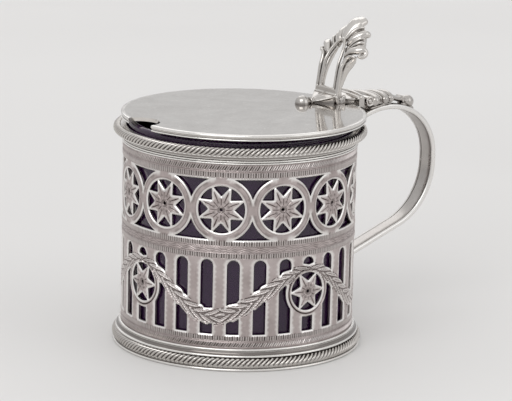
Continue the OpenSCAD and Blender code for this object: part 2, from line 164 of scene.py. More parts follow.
def arc(x, z, radius, start, end, steps):
    """Points of an arc from one angle to another, in degrees."""
    turns = np.radians(np.linspace(start, end, steps + 1))
    return [(x + radius * math.cos(t), z + radius * math.sin(t)) for t in turns]


def lathe(profile, steps=360):
    """A closed profile of (radius, height) points turned about the drum's axis."""
    points = [(r * math.cos(t), r * math.sin(t), z) for r, z in profile for t in turns_of(steps)]
    return points, grid_faces(len(profile), steps, close_rows=True)


def paint_light_by_bend(piece, profile, columns):
    """Gives a profile's crests a painted highlight and its hollows painted shade, by how it bends at each
    point.
    """
    places = np.array(profile)
    before, after = places - np.roll(places, 1, axis=0), np.roll(places, -1, axis=0) - places
    across = before[:, 0] * after[:, 1] - before[:, 1] * after[:, 0]
    reach = (np.linalg.norm(before, axis=1) + np.linalg.norm(after, axis=1)) / 2
    bend = np.arctan2(across, np.sum(before * after, axis=1)) / np.maximum(reach, 0.08)
    paint(piece, "edge", np.repeat(np.clip(0.28 * bend - 0.1, 0, 0.8), columns))
    paint(piece, "cut", np.repeat(np.clip(-0.72 * bend, 0, 0.85), columns))


def unit(vector):
    return vector / np.linalg.norm(vector)


def smooth_path(points, steps):
    """A smooth curve through points, by cubic spans."""
    points = np.asarray(points, float)
    padded = np.concatenate([[2 * points[0] - points[1]], points, [2 * points[-1] - points[-2]]])
    curve = []
    for before, start, end, after in zip(padded, padded[1:], padded[2:], padded[3:]):
        for t in np.linspace(0, 1, steps, endpoint=False):
            curve.append(0.5 * (2 * start + (end - before) * t
                                + (2 * before - 5 * start + 4 * end - after) * t ** 2
                                + (3 * start - before - 3 * end + after) * t ** 3))
    curve.append(points[-1])
    return np.array(curve)


def along_line(values, count):
    """Values spread evenly along a line of points, with those between them filled in."""
    return np.interp(np.linspace(0, 1, count), np.linspace(0, 1, len(values)), values)


def bead(path, half_widths, half_depths, side, sides=20):
    """A round-ended bead along a path. side(point) is the direction of its depth."""
    path = np.asarray(path, float)
    widths, depths = along_line(half_widths, len(path)), along_line(half_depths, len(path))
    tangents = np.gradient(path, axis=0)
    cap = np.radians(np.linspace(90, 0, 6)[:-1])
    rows = [(0, -math.sin(a), math.cos(a)) for a in cap]
    rows += [(i, 0, 1) for i in range(len(path))]
    rows += [(-1, math.sin(a), math.cos(a)) for a in cap[::-1]]
    points = []
    for index, ahead, share in rows:
        tangent = unit(tangents[index])
        out = side(path[index])
        out = unit(out - tangent * np.dot(out, tangent))
        across = np.cross(tangent, out)
        share = max(share, 0.02)
        centre = path[index] + tangent * ahead * min(widths[index], depths[index])
        for t in turns_of(sides):
            points.append(centre + share * (widths[index] * math.cos(t) * across
                                            + depths[index] * math.sin(t) * out))
    return points, capped_faces(len(rows), sides)


def ball(centre, radii, steps=24, floor=None):
    """An egg-shaped lump with half sizes along X, Y and Z, cut flat at a height if one is given."""
    points = []
    for a in np.radians(np.linspace(-88, 88, steps // 2)):
        for t in turns_of(steps):
            way = np.array((math.cos(a) * math.cos(t), math.cos(a) * math.sin(t), math.sin(a)))
            points.append(np.array(centre) + np.array(radii) * way)
    if floor is not None:
        points = [(x, y, max(z, floor)) for x, y, z in points]
    return points, capped_faces(steps // 2, steps)


def slab(outline, low, high):
    """An upright prism over an outline of (x, y) points."""
    points = [(x, y, z) for z in (low, high) for x, y in outline]
    return points, capped_faces(2, len(outline))


def block(x_ends, y_ends, z_ends):
    """A box between two ends along each axis."""
    (x0, x1), (y0, y1) = x_ends, y_ends
    return slab([(x0, y0), (x1, y0), (x1, y1), (x0, y1)], *z_ends)


def up(_):
    return np.array((0.0, 0.0, 1.0))


# Materials

class Shading:
    """The nodes of a material or a world, and short ways to add to them."""

    def __init__(self, holder):
        holder.use_nodes = True
        self.nodes, self.links = holder.node_tree.nodes, holder.node_tree.links

    def fill(self, node, **values):
        """Links a node's inputs to other nodes, or sets them. Their names here have _ for a space."""
        for name, value in values.items():
            socket = node.inputs[name.replace("_", " ")]
            if isinstance(value, bpy.types.NodeSocket):
                self.links.new(value, socket)
            else:
                socket.default_value = (*value, 1) if isinstance(value, tuple) else value
        return node

    def add(self, kind, **values):
        return self.fill(self.nodes.new("ShaderNode" + kind), **values)

    def noise(self, scale, detail, rough=0.5):
        """Noise in the object's own space. scale is in features a metre."""
        place = self.add("TexCoord").outputs["Object"]
        return self.add("TexNoise", Vector=place, Scale=scale, Detail=detail, Roughness=rough).outputs["Fac"]

    def painted(self, name):
        """The values that paint() keeps at a piece's points."""
        node = self.add("Attribute")
        node.attribute_name = name
        return node.outputs["Fac"]

    def ramp(self, value, *stops):
        """A colour ramp of (position, colour) stops."""
        node = self.add("ValToRGB", Fac=value)
        elements = node.color_ramp.elements
        while len(elements) < len(stops):
            elements.new(0.5)
        for element, (position, colour) in zip(elements, stops):
            element.position = position
            element.color = (*colour, 1)
        return node.outputs["Color"]

    def spread(self, value, low, high, start=0.3, end=0.7):
        """A value taken from one range to another."""
        node = self.add("MapRange", Value=value, From_Min=start, From_Max=end, To_Min=low, To_Max=high)
        return node.outputs["Result"]

    def mixed(self, share, first, second):
        """A colour mixed from two by a share."""
        node = self.add("Mix")
        node.data_type = "RGBA"
        return self.fill(node, Factor=share, A=first, B=second).outputs["Result"]

    def more(self, first, second):
        """The greater of two values."""
        node = self.add("Math")
        node.operation = "MAXIMUM"
        self.links.new(first, node.inputs[0])
        self.links.new(second, node.inputs[1])
        return node.outputs["Value"]


def new_material(name):
    """A material, its nodes and its shader."""
    material = bpy.data.materials.new(name)
    tree = Shading(material)
    return material, tree, tree.nodes["Principled BSDF"]


# Noise as features a metre, detail and, for the clouds of polish, roughness
CLOUD, PATCH, SPECK, GRAIN = (110, 9, 0.72), (260, 5), (1300, 2), (1500, 4)
GRAIN_DEPTH = 0.05
SILVER_PALE, SILVER_DEEP = (0.70, 0.675, 0.645), (0.58, 0.55, 0.52)
# The sheet, the handle and the leaf take darker copies of the silver: painted shade laid over each of these
# parts as a whole
SHEET_PALE, SHEET_DEEP = (0.60, 0.535, 0.525), (0.37, 0.315, 0.305)
HANDLE_PALE, HANDLE_DEEP = (0.52, 0.495, 0.475), (0.42, 0.395, 0.375)
LEAF_PALE, LEAF_DEEP = (0.60, 0.575, 0.55), (0.46, 0.435, 0.41)
# Painted highlight colour: edges, crests and specks are mixed towards it
SILVER_HIGHLIGHT = (0.96, 0.945, 0.92)
# Painted shade colour, partly tarnish: hollows and cuts are mixed towards it
TARNISH_AND_SHADE = (0.10, 0.082, 0.075)


def silver(name, rough_low, rough_high, grain, hollow=0.9, pale=SILVER_PALE, deep=SILVER_DEEP, specks=False):
    """Polished silver, unevenly polished. Hollows and points with a cut value get painted shade, partly
    tarnish; points with an edge value, and specks if asked for, get painted highlights.
    """
    material, tree, shader = new_material(name)
    tint = tree.ramp(tree.noise(*CLOUD), (0.3, deep), (0.7, pale))
    # Painted shade: ambient occlusion darkens the hollows and the cut value darkens grooves; the edge value
    # lifts points to a painted highlight
    open_share = tree.add("AmbientOcclusion", Distance=hollow * MM).outputs["AO"]
    dark = tree.more(tree.spread(open_share, 0.85, 0.0, 0.25, 0.85), tree.painted("cut"))
    colour = tree.mixed(tree.painted("edge"), tree.mixed(dark, tint, TARNISH_AND_SHADE), SILVER_HIGHLIGHT)
    # Painted glints: bright specks mixed over the colour
    if specks:
        dots = tree.ramp(tree.noise(*SPECK), (0.66, (0, 0, 0)), (0.76, (1, 1, 1)))
        colour = tree.mixed(dots, colour, SILVER_HIGHLIGHT)
    rough = tree.spread(tree.noise(*PATCH), rough_low, rough_high)
    relief = tree.add("Bump", Height=tree.noise(*GRAIN), Distance=GRAIN_DEPTH * MM, Strength=grain)
    tree.fill(shader, Metallic=1.0, Base_Color=colour, Roughness=rough, Normal=relief.outputs["Normal"])
    return material


def violet_glass():
    """Deep violet-blue glass with a faint unevenness."""
    material, tree, shader = new_material("cobalt_glass")
    tint = tree.ramp(tree.noise(60, 3), (0.3, (0.058, 0.016, 0.080)), (0.7, (0.084, 0.027, 0.115)))
    rough = tree.spread(tree.noise(200, 3), 0.03, 0.09)
    tree.fill(shader, Base_Color=tint, Transmission_Weight=0.7, IOR=1.52, Roughness=rough)
    return material


SHEET = silver("engraved_sheet", 0.26, 0.40, 0.12, hollow=0.5, pale=SHEET_PALE, deep=SHEET_DEEP)
WIRE = silver("drawn_wire", 0.12, 0.24, 0.05, hollow=1.0)
CAST = silver("cast_silver", 0.10, 0.20, 0.05, hollow=1.3)
MIRROR = silver("planished_lid", 0.06, 0.12, 0.03, specks=True)
STRAP = silver("handle_silver", 0.24, 0.34, 0.05, pale=HANDLE_PALE, deep=HANDLE_DEEP)
LEAF = silver("leaf_silver", 0.12, 0.22, 0.05, hollow=1.5, pale=LEAF_PALE, deep=LEAF_DEEP)
GLASS = violet_glass()


# Pierced and engraved wall. Places on it are (s, z): s runs round the outside and z is the height.

FOOT_TOP = FOOT_HIGH[2]
SLOT_COUNT, SLOT_W, SLOT_H = 28, 3.5, 20.6
BASE_BAND_H, MID_BAND_H = 3.7, 5.5
ROUNDELS, ROUNDEL_R, RING_R = 12, 6.45, 8.9
ROUNDEL_POINTS, ROUNDEL_NOTCH_R = 8, 3.6
MEDALLIONS, MEDALLION_R, MEDALLION_OPEN_R = 4, 7.0, 5.3
MEDALLION_POINTS, MEDALLION_NOTCH_R = 6, 2.9
MEDALLION_RISE, SPANDREL_RISE, STAR_SINK, EYE_R = 11.0, 1.5, 0.6, 0.45
SWAG_LOW_AT, SWAG_LOW, SWAG_PEAK = 0.46, 4.9, 17.0
SWAG_LOW_H, SWAG_PEAK_H, SWAG_SLOPE_H = 4.3, 3.2, 1.1
LEAF_PITCH, LEAF_TIP, LEAF_TURN_AT = 3.0, 0.75, 0.505
SLOT_Z = FOOT_TOP + BASE_BAND_H
BAND_HALF = 8.25
ROUNDEL_Z = SLOT_Z + SLOT_H + MID_BAND_H + BAND_HALF
SPAN = AROUND / MEDALLIONS
EDGE_W, EDGE_DROP = 0.3, 0.24


def places_round(count):
    """Evenly spaced places round the wall."""
    return np.linspace(0, AROUND, count, endpoint=False)


def fold(s, pitch, start=0.0):
    """Distance along the wall from the nearest of a ring of places."""
    return (s - start + pitch / 2) % pitch - pitch / 2


def swag_line(u):
    """Height of a swag's middle and half its thickness, at a share u of its span."""
    side = np.where(u < SWAG_LOW_AT, SWAG_LOW_AT, 1 - SWAG_LOW_AT)
    part = np.abs(u - SWAG_LOW_AT) / side
    rise = (1 - np.cos(math.pi * part)) / 2
    middle = SWAG_LOW + (SWAG_PEAK - SWAG_LOW) * rise
    height = SWAG_LOW_H + (SWAG_PEAK_H - SWAG_LOW_H) * rise + SWAG_SLOPE_H * np.sin(math.pi * part)
    return middle, height / 2


def star_outside(x, z, count, tip_r, notch_r, turn):
    """Distance outside a star, below 0 within it."""
    half = math.pi / count
    r = np.hypot(x, z)
    a = np.abs((np.arctan2(z, x) - turn + half) % (2 * half) - half)
    run = notch_r * math.cos(half) - tip_r
    rise = notch_r * math.sin(half)
    return ((r * np.cos(a) - tip_r) * rise - r * np.sin(a) * run) / math.hypot(run, rise)


def metal(s, z):
    """Distance from the nearest piercing, below 0 within one."""
    x = fold(s, AROUND / SLOT_COUNT)
    h = z - SLOT_Z
    straight = SLOT_H - SLOT_W / 2
    slot = np.where(h > straight, np.hypot(x, h - straight), np.maximum(np.abs(x), SLOT_W / 2 - h))
    slot -= SLOT_W / 2
    u = (s / SPAN) % 1
    middle, half = swag_line(u)
    nudge = 0.002
    slope = (swag_line((u + nudge) % 1)[0] - middle) / (nudge * SPAN)
    leaf = 1 - (np.abs(u - LEAF_TURN_AT) * SPAN / LEAF_PITCH + np.where(h > middle, 0.5, 0)) % 1
    swag = (np.abs(h - middle) - half - LEAF_TIP * (leaf * (1 - leaf ** 8) - 0.4)) / np.sqrt(1 + slope ** 2)
    mx, mz = fold(s, SPAN), h - MEDALLION_RISE
    mr = np.hypot(mx, mz)
    slot = np.maximum(slot, np.maximum(-swag, MEDALLION_R - mr))
    points = star_outside(mx, mz, MEDALLION_POINTS, MEDALLION_OPEN_R + STAR_SINK, MEDALLION_NOTCH_R, 0)
    cells = np.minimum(np.maximum(mr - MEDALLION_OPEN_R, -points), mr - EYE_R)
    behind_handle = np.abs(fold(s, AROUND)) < SPAN / 2
    cells = np.where(behind_handle, MEDALLION_R, cells)
    rx, rz = fold(s, AROUND / ROUNDELS, AROUND / ROUNDELS / 2), z - ROUNDEL_Z
    rr = np.hypot(rx, rz)
    points = star_outside(rx, rz, ROUNDEL_POINTS, ROUNDEL_R + STAR_SINK, ROUNDEL_NOTCH_R,
                          math.pi / ROUNDEL_POINTS)
    rounds = np.minimum(np.maximum(rr - ROUNDEL_R, -points), rr - EYE_R)
    spandrel = np.maximum(RING_R - rr, np.maximum(SPANDREL_RISE - np.abs(rz), np.abs(rz) - BAND_HALF))
    return np.minimum(np.minimum(slot, cells), np.minimum(rounds, spandrel))


CONTOUR_STEP = 0.13


def contours(level, spacing):
    """Closed lines round the piercings at a distance from their edges, as evenly spaced points."""
    columns = int(AROUND / CONTOUR_STEP)
    s = np.arange(columns) * AROUND / columns
    z = np.arange(SLOT_Z - 1, ROUNDEL_Z + BAND_HALF + 1, CONTOUR_STEP)
    field = metal(s[None, :], z[:, None]) - level
    beside = np.roll(field, -1, axis=1)
    flat = (field > 0) != (beside > 0)
    tall = (field[:-1] > 0) != (field[1:] > 0)
    flat_id = np.arange(field.size).reshape(field.shape)
    tall_id = field.size + np.arange(tall.size).reshape(tall.shape)
    sides = [(flat[:-1], flat_id[:-1]), (np.roll(tall, -1, 1), np.roll(tall_id, -1, 1)),
             (flat[1:], flat_id[1:]), (tall, tall_id)]
    crossed = sum(side.astype(int) for side, _ in sides)
    links = {}
    for row, column in zip(*np.nonzero(crossed)):
        ids = [int(ident[row, column]) for side, ident in sides if side[row, column]]
        for first, second in zip(ids[::2], ids[1::2]):
            links.setdefault(first, []).append(second)
            links.setdefault(second, []).append(first)

    def place(ident):
        if ident < field.size:
            row, column = divmod(ident, columns)
            share = field[row, column] / (field[row, column] - beside[row, column])
            return (column + share) * AROUND / columns, z[row]
        row, column = divmod(ident - field.size, columns)
        share = field[row, column] / (field[row, column] - field[row + 1, column])
        return s[column], z[row] + share * CONTOUR_STEP

    loops, seen = [], set()
    for start in links:
        if start in seen:
            continue
        chain, here = [], start
        while here is not None:
            seen.add(here)
            chain.append(place(here))
            here = next((other for other in links[here] if other not in seen), None)
        chain = np.array(chain)
        chain[:, 0] = np.unwrap(chain[:, 0], period=AROUND)
        closed = np.vstack([chain, chain[:1]])
        length = np.concatenate([[0], np.cumsum(np.hypot(*np.diff(closed, axis=0).T))])
        count = max(8, round(length[-1] / spacing))
        at = np.linspace(0, length[-1], count, endpoint=False)
        loops.append(np.column_stack([np.interp(at, length, closed[:, i]) for i in (0, 1)]))
    return loops


def stroke(line, half_width, middle, edge, closed=False):
    """A cut along a line, as rows of (s, z, height): its middle at one height and its sides at another."""
    line = np.asarray(line, float)
    along = np.gradient(line, axis=0)
    if closed:
        along = np.roll(line, -1, axis=0) - np.roll(line, 1, axis=0)
    across = np.column_stack([-along[:, 1], along[:, 0]])
    across /= np.maximum(np.linalg.norm(across, axis=1), 1e-9)[:, None]
    across *= along_line(half_width, len(line))[:, None]
    rows = [(line, middle), (line - across, edge), (line + across, edge)]
    return np.vstack([np.column_stack([places, np.full(len(line), height)]) for places, height in rows])


def polar(s, z, r, angle):
    return s + r * math.cos(angle), z + r * math.sin(angle)


def ring_cut(s, z, r, half_width, depth, spacing=0.4):
    line = [polar(s, z, r, a) for a in turns_of(int(FULL_TURN * r / spacing))]
    return stroke(line, (half_width,), -depth, 0, closed=True)


# The ring at a star's heart as radius, half width, depth and spacing
HEART = (0.95, 0.2, 0.12, 0.3)
DROP_WIDTHS, DROP_DEPTH = (0.08, 0.16, 0.22, 0.2, 0.08), 0.16
CREASE_WIDTHS, CREASE_DEPTH, CREASE_R = (0.12, 0.22), 0.14, 1.35
CUT_LIP = 0.03


def star_cuts(s, z, count, turn, notch_r, tip_r):
    """A drop-shaped cut in each point of a star, a fold between the points and a ring at the heart."""
    cuts = [ring_cut(s, z, *HEART)]
    for a in turn + turns_of(count):
        drop = [polar(s, z, r, a) for r in np.linspace(0.36 * tip_r, 0.78 * tip_r, 9)]
        cuts.append(stroke(drop, DROP_WIDTHS, -DROP_DEPTH, CUT_LIP))
        crease = [polar(s, z, r, a + math.pi / count) for r in np.linspace(CREASE_R, 0.86 * notch_r, 7)]
        cuts.append(stroke(crease, CREASE_WIDTHS, -CREASE_DEPTH, CUT_LIP))
    return cuts


def arc_cuts(s, z, r, half_width, depth, low, high):
    """The same arc of a ring cut in each quarter, from one angle to another, in degrees."""
    cuts = []
    for quarter in range(4):
        turns = np.linspace(low, high, 18) if quarter % 2 == 0 else np.linspace(90 - high, 90 - low, 18)
        line = [polar(s, z, r, math.radians(90 * quarter + a)) for a in turns]
        cuts.append(stroke(line, (0.06, half_width, half_width, 0.06), -depth, 0))
    return cuts


# Rows of ticks as their lowest and highest place and their lean, in ticks
TICKS, TICK_RISE = 300, 0.09
TICK_ROWS = ((6.25, 7.35, 0.45), (7.95, 9.15, 0.0), (30.75, 31.95, 0.0), (34.1, 35.3, 0.0),
             (52.75, 54.05, 0.0), (54.75, 55.95, 0.45))
BORDER_LINES = (7.65, 32.25, 33.8, 54.4, 56.35)
WAVES, WAVE_Z, WAVE_RISE, WAVE_APART = 52, 33.02, 0.28, 0.27
TICK_EASE, BORDER_HALF, WAVE_HALF, LINE_DEPTH = 0.12, 0.13, 0.14, 0.1


def band_cuts():
    """Rows of short upright or leaning cuts, thin border lines and a pair of waved lines."""
    cuts = []
    pitch = AROUND / TICKS
    for row, (low, high, lean) in enumerate(TICK_ROWS):
        start, middle, end = low + TICK_EASE, (low + high) / 2, high - TICK_EASE
        ridge = ((-1, low - 0.1, 0.0), (-1, start, TICK_RISE), (0, middle, TICK_RISE),
                 (1, end, TICK_RISE), (1, high + 0.1, 0.0))
        tick = ((-1, start), (0, middle), (1, end))
        for i in range(TICKS):
            s = i * pitch
            depth = 0.155 + 0.045 * math.sin(2.4 * i + 4 * row)
            cuts.append([(s + share * lean * pitch, z, -depth) for share, z in tick])
            cuts.append([(s + pitch * (0.5 + share * lean), z, rise) for share, z, rise in ridge])
    around = places_round(2 * TICKS)
    lines = [(around, np.full(len(around), z), BORDER_HALF) for z in BORDER_LINES]
    around = places_round(12 * WAVES)
    wave = WAVE_Z + WAVE_RISE * np.sin(around / AROUND * WAVES * FULL_TURN)
    lines += [(around, wave + side * WAVE_APART, WAVE_HALF) for side in (-1, 1)]
    cuts += [stroke(np.column_stack([s, z]), (half,), -LINE_DEPTH, 0, closed=True) for s, z, half in lines]
    return cuts


LEAF_LENGTH, LEAF_HALF, LEAVES = 5.4, 0.36, 12
LEAF_STARTS = ((-1, 0.24), (1, -0.26))
# Heights of the bed between the leaves, a leaf's edge and its rise to the middle, its vein and its outline
LEAF_BED, LEAF_EDGE, LEAF_RISE, LEAF_VEIN, LEAF_LINE = -0.1, 0.06, 0.07, -0.06, -0.16


def leaf_height(q, v):
    """Height of a swag's leaves at a distance q from their turn and a share v of its half thickness.

    The leaves spread from the middle in pairs, each laid over the foot of the one before it.
    """
    height = np.where(np.abs(v) < 0.7, LEAF_BED, 0.0)
    for number in range(-2, LEAVES):
        for side, start in LEAF_STARTS:
            foot = (number + start) * LEAF_PITCH + 0.95 * LEAF_LENGTH
            share = (foot - q) / LEAF_LENGTH
            inside = (share > 0) & (share < 1)
            share = np.clip(share, 0.001, 0.999)
            half = LEAF_HALF * 1.9 * share ** 0.5 * (1 - share) ** 0.7
            across = np.abs(side * v - 0.05 - 0.95 * share) / half
            leaf = LEAF_EDGE + LEAF_RISE * (1 - across)
            leaf = np.where((across < 0.14) & (share > 0.2) & (share < 0.75), LEAF_VEIN, leaf)
            leaf = np.where(across > 0.78, LEAF_LINE, leaf)
            height = np.where(inside & (across < 1.08), leaf, height)
    return height


def swag_cuts():
    """Rows of pointed leaves along each swag, laid towards a turn near its lowest point."""
    along = np.arange(0, SPAN, 0.21)
    u, v = np.meshgrid(along / SPAN, np.linspace(-1.12, 1.12, 25), indexing="ij")
    middle, half = swag_line(u)
    height = leaf_height(np.abs(u - LEAF_TURN_AT) * SPAN, v)
    leaves = np.stack([SPAN * u, SLOT_Z + middle + v * half, height], axis=-1).reshape(-1, 3)
    return [leaves + (SPAN * index, 0, 0) for index in range(MEDALLIONS)]


# Rings cut round the stars and in the knot over each medallion, as half width and depth
ROUNDEL_LINE, ROUNDEL_ARCS, MEDALLION_LINE, KNOT_LINE = (0.14, 0.07), (0.15, 0.1), (0.24, 0.32), (0.3, 0.3)
RING_INSET, MEDALLION_LINE_R, KNOT_R, KNOT_RISE = 0.72, 6.15, 0.5, 0.3


def wall_cuts():
    cuts = band_cuts()
    for i in range(ROUNDELS):
        place = (i + 0.5) * AROUND / ROUNDELS, ROUNDEL_Z
        cuts += star_cuts(*place, ROUNDEL_POINTS, math.pi / ROUNDEL_POINTS, ROUNDEL_NOTCH_R, ROUNDEL_R)
        cuts.append(ring_cut(*place, ROUNDEL_R + RING_INSET, *ROUNDEL_LINE))
        cuts += arc_cuts(*place, RING_R - RING_INSET, *ROUNDEL_ARCS, 14, 60)
    for i in range(MEDALLIONS):
        place = i * SPAN, SLOT_Z + MEDALLION_RISE
        cuts += star_cuts(*place, MEDALLION_POINTS, 0, MEDALLION_NOTCH_R, MEDALLION_OPEN_R)
        cuts.append(ring_cut(*place, MEDALLION_LINE_R, *MEDALLION_LINE))
        cuts.append(ring_cut(i * SPAN, SLOT_Z + SWAG_PEAK + KNOT_RISE, KNOT_R, *KNOT_LINE, 0.25))
    return np.vstack([np.asarray(cut, float) for cut in cuts + swag_cuts()])


CELL = 0.5


def thin_out(points, radius, kept):
    """Adds points to those that are kept, but none within a radius of another."""
    cells = {}
    for i, (s, z, _) in enumerate(kept):
        cells.setdefault((int(s / CELL), int(z / CELL)), []).append(i)
    for s, z, height in points:
        s %= AROUND
        column, row = int(s / CELL), int(z / CELL)
        blocks = [cells.get((column + c, row + r), ()) for c in (-1, 0, 1) for r in (-1, 0, 1)]
        near = (kept[i] for numbers in blocks for i in numbers)
        if all((s - other[0]) ** 2 + (z - other[1]) ** 2 > radius ** 2 for other in near):
            cells.setdefault((column, row), []).append(len(kept))
            kept.append((s, z, height))


def triangles(places, loops):
    """Triangles between places on the wall, none across a loop, with the piercings left open."""
    places = np.asarray(places)
    reach = np.exp((places[:, 1] - places[:, 1].mean()) / DRUM_R)
    angle = places[:, 0] / DRUM_R
    flat = [Vector(pair) for pair in zip(reach * np.cos(angle), reach * np.sin(angle))]
    edges = [(int(a), int(b)) for loop in loops for a, b in zip(loop, np.roll(loop, -1))]
    _, _, faces, origins, _, _ = geometry.delaunay_2d_cdt(flat, edges, [], 0, 1e-9)
    source = [origin[0] for origin in origins]
    faces = np.array([[source[i] for i in face] for face in faces])
    walls = {(min(pair), max(pair)) for pair in edges}
    beside = {}
    for index, face in enumerate(faces):
        for a, b in ((face[0], face[1]), (face[1], face[2]), (face[2], face[0])):
            beside.setdefault((min(a, b), max(a, b)), []).append(index)
    near = [[] for _ in faces]
    for pair, members in beside.items():
        if len(members) == 2 and pair not in walls:
            near[members[0]].append(members[1])
            near[members[1]].append(members[0])
    group = np.full(len(faces), -1)
    for start in range(len(faces)):
        if group[start] >= 0:
            continue
        group[start], waiting = start, [start]
        while waiting:
            for other in near[waiting.pop()]:
                if group[other] < 0:
                    group[other] = start
                    waiting.append(other)
    corners_s = places[faces, 0]
    corners_s = corners_s[:, :1] + (corners_s - corners_s[:, :1] + AROUND / 2) % AROUND - AROUND / 2
    centre_s, centre_z = corners_s.mean(axis=1), places[faces, 1].mean(axis=1)
    run, rise = corners_s - corners_s[:, :1], places[faces, 1] - places[faces[:, :1], 1]
    area = np.abs(run[:, 1] * rise[:, 2] - run[:, 2] * rise[:, 1])
    across = np.ptp(corners_s, axis=1) < AROUND / 4
    vote = np.where(metal(centre_s, centre_z) > 0, area, -area) * across
    total = np.bincount(group, weights=vote, minlength=len(faces))
    return faces[total[group] > 0]


RIM_STEPS, EDGE_SPACING, SHOULDER_SPACING = 360, 0.34, 0.36
CUT_GAP, CUT_CLEAR, FILL_STEP, FILL_GAP, FILL_CLEAR, INSIDE_GAP = 0.115, 0.07, 0.8, 0.42, 0.2, 0.45
# Painted highlight along a piercing's edge and its shoulder, and painted shade round a star's eye. A loop of
# few points goes round a star's eye.
EDGE_HIGHLIGHT, SHOULDER_HIGHLIGHT, EYE_SHADE, EYE_POINTS = 0.8, 0.75, 0.5, 14


def clear_of_holes(points, gap):
    return points[metal(points[:, 0], points[:, 1]) > EDGE_W + gap]


def pierced_wall():
    """The sheet wall: engraved outside, plain inside, with bevelled edges round its piercings."""
    edges, shoulders = contours(0.0, EDGE_SPACING), contours(EDGE_W, SHOULDER_SPACING)
    ends = [[(s, z) for s in places_round(RIM_STEPS)] for z in (WALL_LOW[2], WALL_TOP)]
    places, loops = [], []
    for lines, height in ((edges, -EDGE_DROP), (ends, 0.0), (shoulders, 0.0)):
        for line in lines:
            loops.append(len(places) + np.arange(len(line)))
            places.extend((s % AROUND, z, height) for s, z in line)
    thin_out(clear_of_holes(wall_cuts(), CUT_CLEAR), CUT_GAP, places)
    heights = np.arange(WALL_LOW[2] + FILL_STEP, WALL_TOP - FILL_STEP / 2, FILL_STEP * 0.866)
    ring = np.arange(0, AROUND - FILL_STEP / 2, AROUND / round(AROUND / FILL_STEP))
    filler = [(s + (row % 2) * FILL_STEP / 2, z, 0.0) for row, z in enumerate(heights) for s in ring]
    filler = clear_of_holes(np.array(filler), FILL_CLEAR)
    thin_out(filler, FILL_GAP, places)
    outside = np.array(places)
    outer_faces = triangles(outside, loops)

    through = loops[:len(edges) + len(ends)]
    through_points = sum(len(loop) for loop in through)
    inside = places[:through_points]
    thin_out(filler[::3], INSIDE_GAP, inside)
    inside = np.array(inside)
    inner_faces = triangles(inside, through)

    base = len(outside)
    flat = np.vstack([outside, inside])
    angle = flat[:, 0] / DRUM_R
    r = np.concatenate([DRUM_R + outside[:, 2], np.full(len(inside), DRUM_R - SHEET_T)])
    points = np.column_stack([r * np.cos(angle), r * np.sin(angle), flat[:, 1]])
    faces = [tuple(face) for face in outer_faces] + [tuple(face + base) for face in inner_faces]
    for loop in through:
        faces += [(a, b, b + base, a + base) for a, b in zip(loop, np.roll(loop, -1))]
    piece = make_piece("pierced_drum", "drum_wall", [(points, faces)], SHEET, crease=32)

    # Painted shade in the engraved cuts and painted highlight on their raised parts, then on the piercings'
    # edges and shoulders, with painted shade round the eyes
    height = np.zeros(len(points))
    height[through_points:base] = outside[through_points:, 2]
    dark, bright = np.clip(-height / 0.2, 0, 0.92), np.clip(height / 0.13 - 0.35, 0, 0.45)
    for number, loop in enumerate(loops):
        if len(loop) <= EYE_POINTS:
            dark[loop] = EYE_SHADE
        elif number < len(edges):
            bright[loop] = EDGE_HIGHLIGHT
        elif number >= len(through):
            bright[loop] = SHOULDER_HIGHLIGHT
    paint(piece, "cut", dark)
    paint(piece, "edge", bright)


pierced_wall()


# Rope wires, mouldings and liner

ROPE_LOBES, ROPE_STRANDS, ROPE_DEPTH = 156, 5, 0.42


def rope_ridge(roll, turns):
    """How far up a strand's side a place on a rope lies, from 0 in the groove to 1 on the crown."""
    return np.abs(np.sin((ROPE_STRANDS * roll - ROPE_LOBES * turns) / 2)) ** 0.9


def rope_ring(name, node, mid_r, mid_z, wire_r, extra=(), sides=30, lobe_steps=8):
    """A wire ring twisted like a rope, its strands rising anticlockwise, with any plain shells beside it."""
    turns = turns_of(ROPE_LOBES * lobe_steps)
    rows, groove_shade = [], []
    for roll in turns_of(sides):
        ridge = rope_ridge(roll, turns)
        r = wire_r * (1 - ROPE_DEPTH * (1 - ridge))
        out = mid_r + r * math.cos(roll)
        rows.append(np.column_stack([out * np.cos(turns), out * np.sin(turns), mid_z + r * math.sin(roll)]))
        # Painted shade, deepening towards the groove between strands
        groove_shade.append(np.clip(2.2 * (1 - ridge) - 0.45, 0, 0.95))
    rope = (np.vstack(rows), grid_faces(sides, len(turns), close_rows=True))
    piece = make_piece(name, node, [rope, *extra], WIRE, crease=60)
    plain = sum(len(points) for points, _ in extra)
    paint(piece, "cut", np.concatenate([*groove_shade, np.zeros(plain)]))


def wire_of(low, high, share=1.0, sink=0.0):
    """The middle radius, middle height and wire radius of a rope that lies in the foot of a ring's box."""
    wire_r = share * (high[2] - low[2]) / 2
    return high[0] - wire_r, low[2] + wire_r - sink, wire_r


RIM_WIRE = wire_of(RIM_ROPE_LOW, RIM_ROPE_HIGH, 0.93, 0.5)
FOOT_WIRE = wire_of(FOOT_ROPE_LOW, FOOT_ROPE_HIGH)
# The rim rope has a rounded land behind it, over the wall's top
LAND_R, LAND_TOP, LAND_LOW = DRUM_R - SHEET_T, WALL_TOP + 0.25, WALL_TOP - 0.3
rim_land = [
    (LAND_R, LAND_LOW), (LAND_R, LAND_TOP - 0.2), *arc(LAND_R + 0.2, LAND_TOP - 0.2, 0.2, 180, 90, 4),
    (DRUM_R + 0.5, LAND_TOP + 0.05), *arc(DRUM_R + 0.6, LAND_TOP - 0.25, 0.3, 90, 0, 4),
    (DRUM_R + 0.9, LAND_LOW)]
rope_ring("rim_rope_twist", "rim_rope", *RIM_WIRE, extra=[lathe(rim_land)])
rope_ring("foot_rope_twist", "foot_rope", *FOOT_WIRE)


def turned_ring(name, node, profile, steps=480):
    """A moulding turned about the drum's axis, with a painted highlight on its crests and painted shade in
    its hollows.
    """
    paint_light_by_bend(make_piece(name, node, [lathe(profile, steps)], WIRE), profile, steps)


